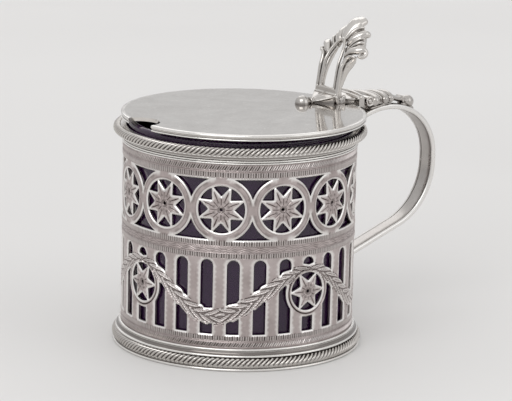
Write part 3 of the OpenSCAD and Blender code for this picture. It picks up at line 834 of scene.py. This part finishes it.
# Foot: a thin flange, a fillet that seats the rope, the rope's bed, a fine reed, a hollow and a heavier reed
FLANGE_R, FLANGE_H = FOOT_HIGH[0], FOOT_ROPE_LOW[2]
REED_Z, WALL_FACE = FOOT_ROPE_HIGH[2], DRUM_R - 0.02
LEDGE_Z, LEDGE_R = WALL_LOW[2], DRUM_R - 2.2
BED_R, SEAT_R = FOOT_WIRE[0] - 0.3, FOOT_WIRE[0] + 0.6 * FOOT_WIRE[2]
SEAT_Z = FOOT_WIRE[1] - 0.45 * FOOT_WIRE[2]
turned_ring("foot_moulding", "foot_ring", [
    (LEDGE_R, 0.15), (LEDGE_R + 0.15, 0.0), (FLANGE_R - 0.35, 0.0),
    *arc(FLANGE_R - 0.4, FLANGE_H / 2, FLANGE_H / 2, -75, 75, 8), (FLANGE_R - 0.5, FLANGE_H),
    (SEAT_R, SEAT_Z), (BED_R, SEAT_Z), (BED_R, REED_Z - 0.1), (BED_R + 0.3, REED_Z),
    *arc(BED_R + 0.42, REED_Z + 0.38, 0.34, -80, 85, 8),
    *arc(BED_R + 0.75, REED_Z + 1.62, 0.95, -118, -178, 8),
    *arc(DRUM_R + 0.34, FOOT_TOP - 0.36, 0.36, -75, 88, 10),
    (WALL_FACE, FOOT_TOP), (WALL_FACE, LEDGE_Z), (LEDGE_R, LEDGE_Z)])

# Rim moulding: a fillet under the rope, a hollow and two fine lines on the wall
MOULD_R, MOULD_LOW, MOULD_TOP = MOULDING_HIGH[0], MOULDING_LOW[2], MOULDING_HIGH[2]
turned_ring("rim_cavetto", "rim_moulding", [
    (WALL_FACE, MOULD_LOW - 0.6), *arc(DRUM_R + 0.1, MOULD_LOW - 0.3, 0.25, -80, 80, 6), (DRUM_R, MOULD_LOW),
    *arc(DRUM_R + 0.14, MOULD_LOW + 0.3, 0.25, -80, 80, 6), (DRUM_R + 0.05, MOULD_LOW + 0.6),
    *arc(DRUM_R + 1.55, MOULD_LOW + 0.75, 1.25, 178, 100, 8),
    *arc(MOULD_R - 0.35, MOULD_TOP - 0.25, 0.25, -85, 90, 7), (WALL_FACE, MOULD_TOP)])

# Glass liner: a straight cup with a rounded lip and soft corners inside and out
LINER_R, LINER_TOP, LINER_BOTTOM = LINER_HIGH[0], LINER_HIGH[2], LINER_LOW[2]
BORE_R, LINER_FLOOR = LINER_R - 2.2, LINER_BOTTOM + 3.0
AXIS_R = 0.01
liner_profile = [
    (AXIS_R, LINER_BOTTOM), *arc(LINER_R - 2, LINER_BOTTOM + 2, 2, -90, 0, 8),
    *arc(LINER_R - 1.1, LINER_TOP - 1.1, 1.1, 0, 180, 14),
    *arc(BORE_R - 2.5, LINER_FLOOR + 2.5, 2.5, 0, -90, 8), (AXIS_R, LINER_FLOOR)]
make_piece("liner_cup", "glass_liner", [lathe(liner_profile, 240)], GLASS)


# Lid: a flat plate and a moulded edge wire, both cut by the round spoon notch

LID_R = EDGE_HIGH[1]
LID_X = HINGE_X - 4.7 - LID_R
LID_LOW, LID_TOP = EDGE_LOW[2], EDGE_HIGH[2]
LID_T, LID_EDGE_W = 1.1, 1.0
NOTCH_R, NOTCH_ANGLE = 6.0, math.radians(180 - 4)


def across_corner(near, beside, far):
    """The angle of a triangle between two sides, from their lengths and the far side's."""
    return math.acos((near ** 2 + beside ** 2 - far ** 2) / (2 * near * beside))


def lid_turns(r, notch_r, steps):
    """Angles of the points of a circle on the lid, from one side of the notch round to the other."""
    half = across_corner(r, LID_R, notch_r)
    return np.linspace(NOTCH_ANGLE + half, NOTCH_ANGLE + FULL_TURN - half, steps)


def lid_outline(r, notch_r, steps=300, notch_steps=40):
    """The lid's outline as (x, y) points: a circle with the notch's arc across it."""
    outline = [(LID_X + r * math.cos(t), r * math.sin(t)) for t in lid_turns(r, notch_r, steps)]
    notch_x, notch_y = LID_X + LID_R * math.cos(NOTCH_ANGLE), LID_R * math.sin(NOTCH_ANGLE)
    half, inwards = across_corner(notch_r, LID_R, r), NOTCH_ANGLE + math.pi
    for t in np.linspace(inwards + half, inwards - half, notch_steps)[1:-1]:
        outline.append((notch_x + notch_r * math.cos(t), notch_y + notch_r * math.sin(t)))
    return outline


def lid_plate():
    low, ease = LID_TOP - LID_T, 0.1
    wide = NOTCH_R + ease
    rows = ((low, wide), (low + ease, NOTCH_R), (LID_TOP - ease, NOTCH_R), (LID_TOP, wide))
    points = [(x, y, z) for z, notch_r in rows for x, y in lid_outline(LID_R - LID_EDGE_W, notch_r)]
    faces = capped_faces(len(rows), len(points) // len(rows))
    make_piece("lid_top", "lid_plate", [(points, faces)], MIRROR, "lid")


def lid_edge():
    inner, columns = LID_R - LID_EDGE_W, 400
    profile = [(inner, LID_LOW), (LID_R - 0.45, LID_LOW),
               *arc(LID_R - 0.4, LID_LOW + 0.24, 0.24, -80, 70, 6),
               (LID_R - 0.38, LID_LOW + 0.55), (LID_R - 0.34, LID_TOP - 0.92),
               *arc(LID_R - 0.46, LID_TOP - 0.46, 0.46, -75, 88, 10), (inner, LID_TOP)]
    points = [(LID_X + r * math.cos(t), r * math.sin(t), z)
              for r, z in profile for t in lid_turns(r, NOTCH_R, columns)]
    faces = grid_faces(len(profile), columns, close_rows=True, close_columns=False)
    for column in (0, columns - 1):
        faces.append(tuple(row * columns + column for row in range(len(profile))))
    edge = make_piece("lid_edge_moulding", "lid_edge_wire", [(points, faces)], WIRE, "lid")
    paint_light_by_bend(edge, profile, columns)


lid_plate()
lid_edge()


# Cast strap on the lid. A place s is the distance from the hinge axis towards the lid's middle.

def over_lid(s, y, h):
    """A point at a place s, a place along the hinge and a height above the lid."""
    return HINGE_X - s, y, LID_TOP + h


def along_y(x, z, r, length, arch=0.0, steps=13):
    """A round-ended reed lying along the hinge, its middle higher than its ends by the arch."""
    reach = length / 2 - r
    path = [(x, reach * t, z + arch * (1 - t * t)) for t in np.linspace(-1, 1, steps)]
    return bead(path, (r,), (r,), up)


# Strap sections as distance s, half widths at the foot and the edge, and heights of the edge and the middle
STRAP_SECTIONS = ((3.4, 5.4, 6.2, 1.1, 2.0), (4.6, 4.3, 5.2, 1.0, 1.75), (6.0, 3.8, 4.6, 1.15, 1.6),
                  (7.4, 3.8, 4.5, 1.6, 1.8), (8.4, 4.2, 4.9, 2.2, 2.3), (10.3, 4.1, 4.9, 2.3, 2.4),
                  (11.2, 3.1, 4.1, 1.9, 2.2), (12.4, 2.0, 3.0, 1.4, 1.8), (13.7, 1.1, 1.8, 0.95, 1.4),
                  (15.0, 0.6, 1.0, 0.75, 1.1), (17.4, 0.5, 0.7, 0.6, 0.9))
KNOP_S, KNOP_Y = 8.6, 5.0
# A knop's bars as lean along the strap, how far out they stand and height
KNOP_BARS = ((-1, 0.0, 2.3), (0, 0.3, 1.7), (1, 0.0, 2.3))
BALL_S, BALL_R, COLLAR_S, BEAD_S = 18.3, 2.1, 15.7, 14.75
BLOCK_S, BLOCK_HALF, BLOCK_HEIGHTS = (3.75, 1.85), 7.4, (-0.9, 1.2)
TONGUE_S, TONGUE_HALF, TONGUE_HEIGHTS = (3, 0.9), 2.85, (-0.2, 0.8)
# Reeds on the block as place s, height above the lid, radius, length and arch
BLOCK_REEDS = ((2.3, 1.3, 0.75, 14.6, 0.8), (3.35, 1.15, 0.6, 14.2, 0.5), (2.75, -0.35, 0.7, 14.9, 0.0))
RIDGE = ((10.4, 0, 2.4), (12.0, 0, 1.95), (13.5, 0, 1.5), (15.0, 0, 1.15))
RIDGE_WIDTHS, RIDGE_DEPTHS = (0.45, 0.4, 0.35, 0.3), (0.4, 0.4, 0.35, 0.3)


def lid_block(places, half, heights):
    """A box across the strap between two places s."""
    return block([HINGE_X - s for s in places], (half, -half), [LID_TOP + h for h in heights])


def strap_body():
    """The strap's waisted body, with hollow sides under a thin edge."""
    points = []
    stations = smooth_path(STRAP_SECTIONS, 5)
    for s, foot, edge, edge_h, middle_h in stations:
        half = [(foot, -0.3), (foot, 0.1), (0.8 * foot + 0.2 * edge - 0.15, 0.45 * edge_h),
                (0.35 * foot + 0.65 * edge, edge_h - 0.42), (edge, edge_h - 0.3), (edge, edge_h - 0.05),
                (edge - 0.25, edge_h + 0.08), (edge - 0.5, edge_h - 0.06),
                (0.55 * edge, 0.5 * (edge_h + middle_h) - 0.05), (0.25 * edge, middle_h)]
        points += [over_lid(s, y, h) for y, h in half + [(-y, h) for y, h in half[::-1]]]
    return points, capped_faces(len(stations), len(points) // len(stations))


def lid_strap():
    ridge = smooth_path([over_lid(*place) for place in RIDGE], 6)
    shells = [strap_body(), lid_block(BLOCK_S, BLOCK_HALF, BLOCK_HEIGHTS),
              lid_block(TONGUE_S, TONGUE_HALF, TONGUE_HEIGHTS),
              *[along_y(HINGE_X - s, LID_TOP + h, *reed) for s, h, *reed in BLOCK_REEDS],
              bead(ridge, RIDGE_WIDTHS, RIDGE_DEPTHS, up),
              ball(over_lid(COLLAR_S, 0, 0.55), (0.5, 1.35, 1.3)),
              ball(over_lid(BEAD_S, 0, 0.5), (0.35, 1.0, 1.05)),
              ball(over_lid(BALL_S, 0, 0.3), (BALL_R, BALL_R, BALL_R), floor=LID_TOP - 0.5)]
    for side in (-1, 1):
        shells.append(ball(over_lid(KNOP_S, side * (KNOP_Y - 0.7), 0.9), (1.4, 0.9, 1.0)))
        for lean, out, height in KNOP_BARS:
            bar = [over_lid(KNOP_S + 0.95 * lean, side * (KNOP_Y + out), 0.1),
                   over_lid(KNOP_S + 1.3 * lean, side * (KNOP_Y + out - 0.2), height - 0.55)]
            shells.append(bead(bar, (0.5, 0.55), (0.5, 0.55), lambda _: np.array((1.0, 0.0, 0.0))))
    melt(make_piece("lid_strap_cast", "lid_strap", shells, LEAF, "lid"))


lid_strap()


# Thumbpiece: a fluted fan on two reeded legs, bent back on an arc. A place on the fan is measured from the
# foot of its front, and a place on a leg is a distance from the middle, a height and a lift off the front.

THUMB_X, THUMB_BEND = HINGE_X - 9.3, 23.0
STRAP_TOP = corners("thumbpiece")[0][2]
THUMB_FOOT = np.array((THUMB_X, 0, STRAP_TOP))


def facing(h):
    """The direction that the thumbpiece faces at a height above the strap."""
    a = math.asin(min(0.95, max(0.0, h / THUMB_BEND)))
    return np.array((-math.cos(a), 0.0, math.sin(a)))


def fan_front(point):
    return facing(point[2] - STRAP_TOP)


def leg(y, h, lift):
    """A place on the legs' arc."""
    out = facing(h)
    return THUMB_FOOT + (THUMB_BEND * (1 + out[0]), y, h) + lift * out


def fan_bead(places, widths, depths):
    return bead(smooth_path(THUMB_FOOT + np.array(places), 7), widths, depths, fan_front)


def leg_bead(places, widths, depths):
    return bead(smooth_path([leg(*place) for place in places], 7), widths, depths, fan_front)


# Flutes of one side of the fan, each as places, half widths and half depths
FLUTES = (
    (((5.6, 1.0, 15.6), (6.9, 1.8, 17.35), (8.6, 2.45, 18.4), (9.9, 2.8, 18.5)),
     (0.3, 0.45, 0.5, 0.45), (0.4, 0.5, 0.55, 0.5)),
    (((5.4, 1.7, 13.8), (6.3, 2.75, 15.4), (7.8, 3.75, 16.5), (9.2, 4.4, 16.95), (10.0, 4.65, 16.75)),
     (0.5, 0.95, 1.2, 1.25, 1.05), (0.6, 0.95, 1.1, 1.1, 0.95)),
    (((4.9, 2.5, 13.2), (5.9, 3.95, 14.9), (7.0, 5.0, 15.85), (7.9, 5.5, 15.95)),
     (0.3, 0.42, 0.45, 0.4), (0.4, 0.5, 0.5, 0.45)),
    (((4.5, 3.1, 12.7), (5.3, 4.7, 14.1), (6.3, 5.8, 14.9), (7.3, 6.3, 14.9)),
     (0.3, 0.45, 0.5, 0.45), (0.4, 0.5, 0.5, 0.45)),
    (((2.9, 3.9, 11.4), (3.7, 5.3, 12.6), (4.7, 6.7, 13.05), (5.8, 7.7, 13.1), (6.35, 8.35, 12.6),
      (5.9, 8.75, 11.8), (4.9, 8.7, 11.4), (4.1, 8.3, 11.6)),
     (0.6, 1.0, 1.25, 1.15, 0.85, 0.65, 0.55, 0.5), (0.6, 0.95, 1.1, 1.1, 0.85, 0.7, 0.6, 0.55)))
SCROLL_EYE, SCROLL_EYE_HALF = (5.0, 7.9, 12.2), (0.6, 0.35, 0.5)
MIDDLE_FLUTE = (((5.5, 0, 14.9), (7.6, 0, 17.55), (9.6, 0, 19.25), (11.4, 0, 19.85)),
                (0.85, 2.0, 2.7, 2.5), (0.85, 1.3, 1.5, 1.35))
# Sheet between the flutes, as rows from the arch to the rim
WEB = (((5.8, 0.0, 14.9), (8.2, 0.0, 17.2), (11.0, 0.0, 18.8)),
       ((5.6, 1.3, 15.0), (7.6, 2.6, 17.4), (10.1, 3.2, 17.9)),
       ((5.2, 2.4, 13.2), (6.7, 4.3, 15.4), (8.7, 5.2, 16.1)),
       ((4.7, 3.2, 12.2), (5.7, 5.4, 14.2), (7.4, 6.5, 14.6)),
       ((3.7, 3.8, 11.4), (4.7, 6.2, 12.8), (6.2, 7.8, 12.9)))
WEB_T = 0.95
# One leg: its inner and outer reed, its back and the wing behind its shoulder. A bar joins the legs' feet.
INNER_Y, LEG_Y, OUTER_Y = 3.07, 3.87, 4.49
LEG_BEADS = (
    (((INNER_Y, -0.3, 0.6), (INNER_Y, 8.0, 0.6), (2.8, 11.2, 0.6), (1.95, 13.4, 0.6), (0.9, 14.7, 0.6),
      (0, 15.05, 0.6)), (0.4,), (0.45,)),
    (((OUTER_Y, -0.3, 0.5), (OUTER_Y, 7.0, 0.5), (4.75, 9.3, 0.5), (5.3, 10.6, 0.45), (6.1, 11.2, 0.35),
      (6.9, 11.35, 0.15), (7.4, 11.4, -0.1)), (0.55, 0.55, 0.5, 0.45, 0.4), (0.55, 0.55, 0.5)),
    (((LEG_Y, -0.3, -0.55), (LEG_Y, 4.0, -0.65), (LEG_Y, 8.0, -0.95), (3.6, 11.0, -1.1), (2.4, 13.2, -0.7)),
     (1.05, 1.05, 1.1, 1.1, 0.9), (0.75, 0.85, 1.05, 1.05, 0.6)),
    (((4.4, 3.0, -0.8), (4.7, 7.0, -1.2), (5.3, 9.3, -1.4), (6.1, 10.6, -1.3), (7.2, 11.5, -0.7)),
     (0.45, 0.65, 0.85, 0.8, 0.4), (0.6, 1.0, 1.3, 1.1, 0.45)))
FOOT_BAR = (((-2.6, 2.0, 0.35), (0, 2.0, 0.35), (2.6, 2.0, 0.35)), (0.3,), (0.6,))
# Steps under the legs, as the ends along X, half the width and the height above the strap
THUMB_STEPS = ((-0.9, 1.0, 4.4, 2.0), (-1.2, 1.3, 4.7, 0.7))
THUMB_SINK, THUMB_VOXEL = 0.4, 0.115


def fan_web():
    """The sheet that the flutes lie on."""
    rails = [smooth_path(rail, 5) for rail in WEB]
    rails = [rail * (1, -1, 1) for rail in rails[:0:-1]] + rails
    columns = smooth_path(np.stack(rails), 4)
    front = (columns + THUMB_FOOT).reshape(-1, 3)
    back = front - WEB_T * np.array([fan_front(point) for point in front])
    rows, count = columns.shape[:2]
    faces = grid_faces(rows, count, close_columns=False)
    base = rows * count
    rim = (list(range(count)) + [row * count + count - 1 for row in range(1, rows)]
           + [base - 1 - i for i in range(1, count)] + [row * count for row in range(rows - 2, 0, -1)])
    faces += [tuple(base + i for i in face) for face in faces]
    faces += [(a, b, base + b, base + a) for a, b in zip(rim, rim[1:] + rim[:1])]
    return np.vstack([front, back]), faces


def thumbpiece():
    shells = [fan_bead(*MIDDLE_FLUTE), fan_web()]
    for front, back, half, height in THUMB_STEPS:
        shells.append(block((THUMB_X + front, THUMB_X + back), (half, -half),
                            (STRAP_TOP - THUMB_SINK, STRAP_TOP + height)))
    shells.append(leg_bead(*FOOT_BAR))
    for side in (-1, 1):
        mirror = (1, side, 1)
        shells += [fan_bead(np.array(places) * mirror, *sizes) for places, *sizes in FLUTES]
        shells += [leg_bead(np.array(places) * (side, 1, 1), *sizes) for places, *sizes in LEG_BEADS]
        shells.append(ball(THUMB_FOOT + np.array(SCROLL_EYE) * mirror, SCROLL_EYE_HALF))
    melt(make_piece("thumbpiece_cast", "thumbpiece", shells, CAST, "lid"), THUMB_VOXEL)


thumbpiece()


# Handle: a flat strap with threaded edges, along a straight, three bends and a straight

HANDLE_HALF, HANDLE_T = 3.0, 1.5
# Half of the strap's outer face as distance from its edge and depth, and of its inner face as distance from
# the edge and rise
HANDLE_FACE = ((0, 0.45), (0.08, 0.2), (0.3, 0.05), (0.55, 0.1), (0.7, 0.32), (0.85, 0.16), (1.05, 0.1),
               (1.25, 0.16), (1.4, 0.34), (1.6, 0.16), (2.0, 0.04), (2.5, 0.0), (3.0, -0.02))
HANDLE_UNDER = ((0, -0.5), (0.1, -0.22), (0.38, -0.05), (0.66, -0.14), (0.78, -0.42), (0.98, -0.42),
                (1.08, -0.16), (1.35, -0.05), (1.9, 0.0), (2.45, 0.02), (3.0, 0.03))
HANDLE_Z, HANDLE_SLOPE, HANDLE_START = WALL_HIGH[2] - 6.1, 28.0, 9.2
CREST_R, CREST_TURN = 21.6, 53.0
SHOULDER_R, SHOULDER_TURN = 15.9, 65.0
HANDLE_SIDE = 2.0
ELBOW_R, ELBOW_TURN = 19.2, 69.5


def along(heading):
    return np.array((math.cos(math.radians(heading)), math.sin(math.radians(heading))))


def right_of(heading):
    return np.array((math.sin(math.radians(heading)), -math.cos(math.radians(heading))))


CREST_START = np.array((DRUM_R, HANDLE_Z)) + HANDLE_START * along(HANDLE_SLOPE)
CREST_C = CREST_START + CREST_R * right_of(HANDLE_SLOPE)


def handle_path():
    """Points of the handle's outer face as (x, z), each with its heading."""
    place = CREST_START - HANDLE_START * along(HANDLE_SLOPE)
    heading = HANDLE_SLOPE
    path = [(place, heading), (place + 0.5 * HANDLE_START * along(heading), heading)]
    place = CREST_START
    for radius, turn, straight in ((CREST_R, CREST_TURN, 0), (SHOULDER_R, SHOULDER_TURN, HANDLE_SIDE),
                                   (ELBOW_R, ELBOW_TURN, 0)):
        centre = place + radius * right_of(heading)
        steps = int(turn / 1.5)
        path += [(centre - radius * right_of(heading - turn * i / steps), heading - turn * i / steps)
                 for i in range(steps + 1)]
        heading -= turn
        place = path[-1][0] + straight * along(heading)
    length = (place[0] - DRUM_R) / -along(heading)[0]
    path += [(place + length * share * along(heading), heading) for share in (0.25, 0.5, 0.75, 1.0)]
    return path


def mirrored(half):
    """A section's half, from its edge to its middle, and the other half."""
    return half + [(-y, depth) for y, depth in half[-2::-1]]


def handle_strap():
    face = mirrored([(edge - HANDLE_HALF, depth) for edge, depth in HANDLE_FACE])
    under = mirrored([(edge - HANDLE_HALF, HANDLE_T + rise) for edge, rise in HANDLE_UNDER])
    section = face + [(-y, depth) for y, depth in under]
    path = handle_path()
    points = []
    for index, (place, heading) in enumerate(path):
        for y, depth in section:
            spot = place + depth * right_of(heading)
            if index in (0, len(path) - 1):
                wall = math.sqrt((DRUM_R - 0.4) ** 2 - y ** 2)
                spot = spot + (wall - spot[0]) / along(heading)[0] * along(heading)
            points.append((spot[0], y, spot[1]))
    faces = capped_faces(len(path), len(section))
    strap = make_piece("handle_threaded", "handle_strap", [(points, faces)], STRAP, crease=40)
    inset = HANDLE_HALF - np.abs([y for y, _ in section])
    outside = np.arange(len(section)) < len(face)
    # Painted highlight on the threaded edges and the middle thread, and painted shade in the grooves
    crest = (inset < 0.68) | (outside & (np.abs(inset - 1.05) < 0.25))
    groove = np.where(outside, (np.abs(inset - 0.7) < 0.05) | (np.abs(inset - 1.4) < 0.05),
                      np.abs(inset - 0.88) < 0.11)
    paint(strap, "edge", np.tile(np.where(crest, 0.75, 0.0), len(path)))
    paint(strap, "cut", np.tile(np.where(groove, 0.85, 0.0), len(path)))


handle_strap()


# Hinge leaf on the handle's crest: reeds that step down and shorten, a neck and a ball

KNUCKLE_R = HINGE_Z - BARREL_LOW[2]
# Reeds as distance s past the hinge axis, drop below it, radius, length and arch
LEAF_REEDS = ((3.4, 0.5, 1.4, 13.9, 0.8), (5.1, 0.05, 0.45, 11.2, 0.8), (6.05, 0.1, 0.45, 10.8, 0.85),
              (7.85, 0.75, 1.3, 11.3, 0.9), (9.45, 0.25, 0.42, 8.2, 0.8), (11.0, 0.85, 1.2, 8.6, 0.85),
              (12.3, 0.75, 0.4, 5.2, 0.4))
# The plate under the reeds as distance and half width, and the neck as distance and drop
LEAF_PLAN = ((1.75, 5.6), (7.0, 4.4), (11.6, 2.9))
NECK = ((11.4, 0.9), (13.2, 1.15), (15.0, 1.7), (17.0, 2.1), (18.6, 2.7))
NECK_WIDTHS, NECK_DEPTHS = (2.9, 2.2, 1.65, 1.5, 1.6), (0.9, 0.85, 0.8, 0.8, 0.9)
WING_S, WING_INNER, WING_OUTER, LEAF_DROP, PLATE_DROP = 2.6, 3.5, 7.2, 0.2, 1.8
COLLAR_PAST, COLLAR_DROP, COLLAR_HALF = 17.3, 2.1, 1.4
LEAF_BALL_S, LEAF_BALL_R = 19.8, 1.9


def on_crest(s, lift):
    """A point over the handle's crest, at a distance s past the hinge axis."""
    x = HINGE_X + s
    return x, 0, CREST_C[1] + math.sqrt(CREST_R ** 2 - (x - CREST_C[0]) ** 2) + lift


def handle_leaf():
    top = HINGE_Z - LEAF_DROP
    shells = [along_y(HINGE_X + s, HINGE_Z - drop, *reed) for s, drop, *reed in LEAF_REEDS]
    for side in (-1, 1):
        shells.append(block((HINGE_X, HINGE_X + WING_S), (side * WING_INNER, side * WING_OUTER),
                            (HINGE_Z - KNUCKLE_R, top)))
    plan = [(HINGE_X + s, w) for s, w in LEAF_PLAN] + [(HINGE_X + s, -w) for s, w in LEAF_PLAN[::-1]]
    neck = smooth_path([(HINGE_X + s, 0, HINGE_Z - drop) for s, drop in NECK], 6)
    collar = [(HINGE_X + COLLAR_PAST, y, HINGE_Z - COLLAR_DROP)
              for y in np.linspace(-COLLAR_HALF, COLLAR_HALF, 5)]
    shells += [
        slab(plan, HINGE_Z - PLATE_DROP, top),
        bead([on_crest(s, 0.15) for s in np.linspace(5.0, 12.0, 6)], (2.6, 2.9, 2.4), (0.9,), up),
        bead(neck, NECK_WIDTHS, NECK_DEPTHS, up), bead(collar, (0.45,), (1.1,), up),
        bead([on_crest(s, 0.2) for s in (17.6, LEAF_BALL_S + 1.2)], (1.3, 1.5), (0.9, 0.8), up),
        ball(on_crest(LEAF_BALL_S, 0.8 * LEAF_BALL_R), (2.15, LEAF_BALL_R, LEAF_BALL_R))]
    melt(make_piece("handle_leaf_cast", "handle_leaf", shells, LEAF))


handle_leaf()


# The pin's head as radius and height past the barrel's end: a dome, a groove and a ring
PIN_R, PIN_STEPS = 0.74, 48
PIN_HEAD = ((AXIS_R, 0.45), (0.3, 0.43), (0.52, 0.34), (0.66, 0.16), (PIN_R, 0.06), (0.84, 0.16),
            (0.98, 0.32), (1.15, 0.37), (1.32, 0.3), (1.42, 0.12), (1.42, -0.05), (PIN_R, -0.05),
            (PIN_R, -0.7))


def hinge_pin():
    end = BARREL_HIGH[1]
    profile = [(r, end + y) for r, y in PIN_HEAD]
    profile += [(r, -y) for r, y in profile[::-1]]
    points, faces = lathe(profile, PIN_STEPS)
    points = [(HINGE_X + x, y, HINGE_Z + z) for x, z, y in points]
    pin = make_piece("hinge_pin_domed", "hinge_pin", [(points, faces)], CAST)
    # Painted shade in the groove round the pin's head
    groove = [0.9 if r == PIN_R and abs(y) > end else 0.0 for r, y in profile]
    paint(pin, "cut", np.repeat(groove, PIN_STEPS))


hinge_pin()

# Solids that stay as they are take a finish of their own
for node, material in (("base_plate", SHEET), ("handle_knuckles", CAST), ("lid_knuckle", CAST)):
    for holder in frame["nodes"][node].material_slots:
        holder.material = material


# Camera at the photograph's angle. The pixel is where the target lies in a frame 512 pixels wide.

TARGET = Vector((0, 0, 35 * MM))
AZIMUTH, ELEVATION, ROLL = (math.radians(a) for a in (-36.7, 13.3, 1.25))
CAMERA_AWAY = 750 * MM
FRAME_W, FRAME_H = 512, 401
FOCAL_PIXELS = 2701
TARGET_PIXEL = (238.5, 215.6)

camera = new_object("camera", bpy.data.cameras.new("camera"))
turned = (Matrix.Rotation(AZIMUTH, 4, "Z") @ Matrix.Rotation(math.pi / 2 - ELEVATION, 4, "X")
          @ Matrix.Rotation(ROLL, 4, "Z"))
camera.matrix_world = Matrix.Translation(TARGET) @ turned @ Matrix.Translation((0, 0, CAMERA_AWAY))
camera.data.sensor_width = 36
camera.data.lens = FOCAL_PIXELS / FRAME_W * camera.data.sensor_width
camera.data.shift_x = (FRAME_W / 2 - TARGET_PIXEL[0]) / FRAME_W
camera.data.shift_y = (TARGET_PIXEL[1] - FRAME_H / 2) / FRAME_W
camera.data.clip_start = 0.01
bpy.context.scene.camera = camera


# Studio: a pale floor, a pale surround and soft lamps

def pale_floor():
    material, tree, shader = new_material("pale_floor")
    tint = tree.ramp(tree.noise(3, 3), (0.3, (0.74, 0.73, 0.72)), (0.7, (0.78, 0.77, 0.76)))
    tree.fill(shader, Base_Color=tint, Roughness=0.9, Specular_IOR_Level=0.1)
    return material


FLOOR_HALF = 3.0
floor_corners = [(x * FLOOR_HALF, y * FLOOR_HALF, 0) for x, y in ((-1, -1), (1, -1), (1, 1), (-1, 1))]
floor_mesh = bpy.data.meshes.new("floor")
floor_mesh.from_pydata(floor_corners, [], [(0, 1, 2, 3)])
floor_mesh.materials.append(pale_floor())
floor = new_object("floor", floor_mesh)


# Square soft lamps aimed at the pot, as name, place and power
LAMP_SIZE = 0.8
LAMPS = (("key", (-0.75, -0.45, 0.85), 3.6), ("fill", (0.55, -0.9, 0.55), 1.2),
         ("rim", (0.5, 0.8, 0.7), 1.6))
for name, place, power in LAMPS:
    light = bpy.data.lights.new(name, "AREA")
    light.size = LAMP_SIZE
    light.energy = power
    holder = new_object(name, light)
    holder.location = place
    holder.rotation_mode = "QUATERNION"
    holder.rotation_quaternion = (TARGET - Vector(place)).to_track_quat("-Z", "Y")


def pale_surround():
    """A surround that is grey round the horizon and pale overhead."""
    world = bpy.data.worlds.new("surround")
    tree = Shading(world)
    way = tree.add("TexCoord").outputs["Generated"]
    height = tree.add("SeparateXYZ", Vector=way).outputs["Z"]
    tint = tree.ramp(height, (0.0, (0.66, 0.66, 0.665)), (0.3, (0.78, 0.78, 0.785)),
                     (0.9, (0.92, 0.92, 0.92)))
    tree.fill(tree.nodes["Background"], Color=tint, Strength=0.9)
    bpy.context.scene.world = world


pale_surround()

bpy.context.scene.view_settings.view_transform = "Standard"
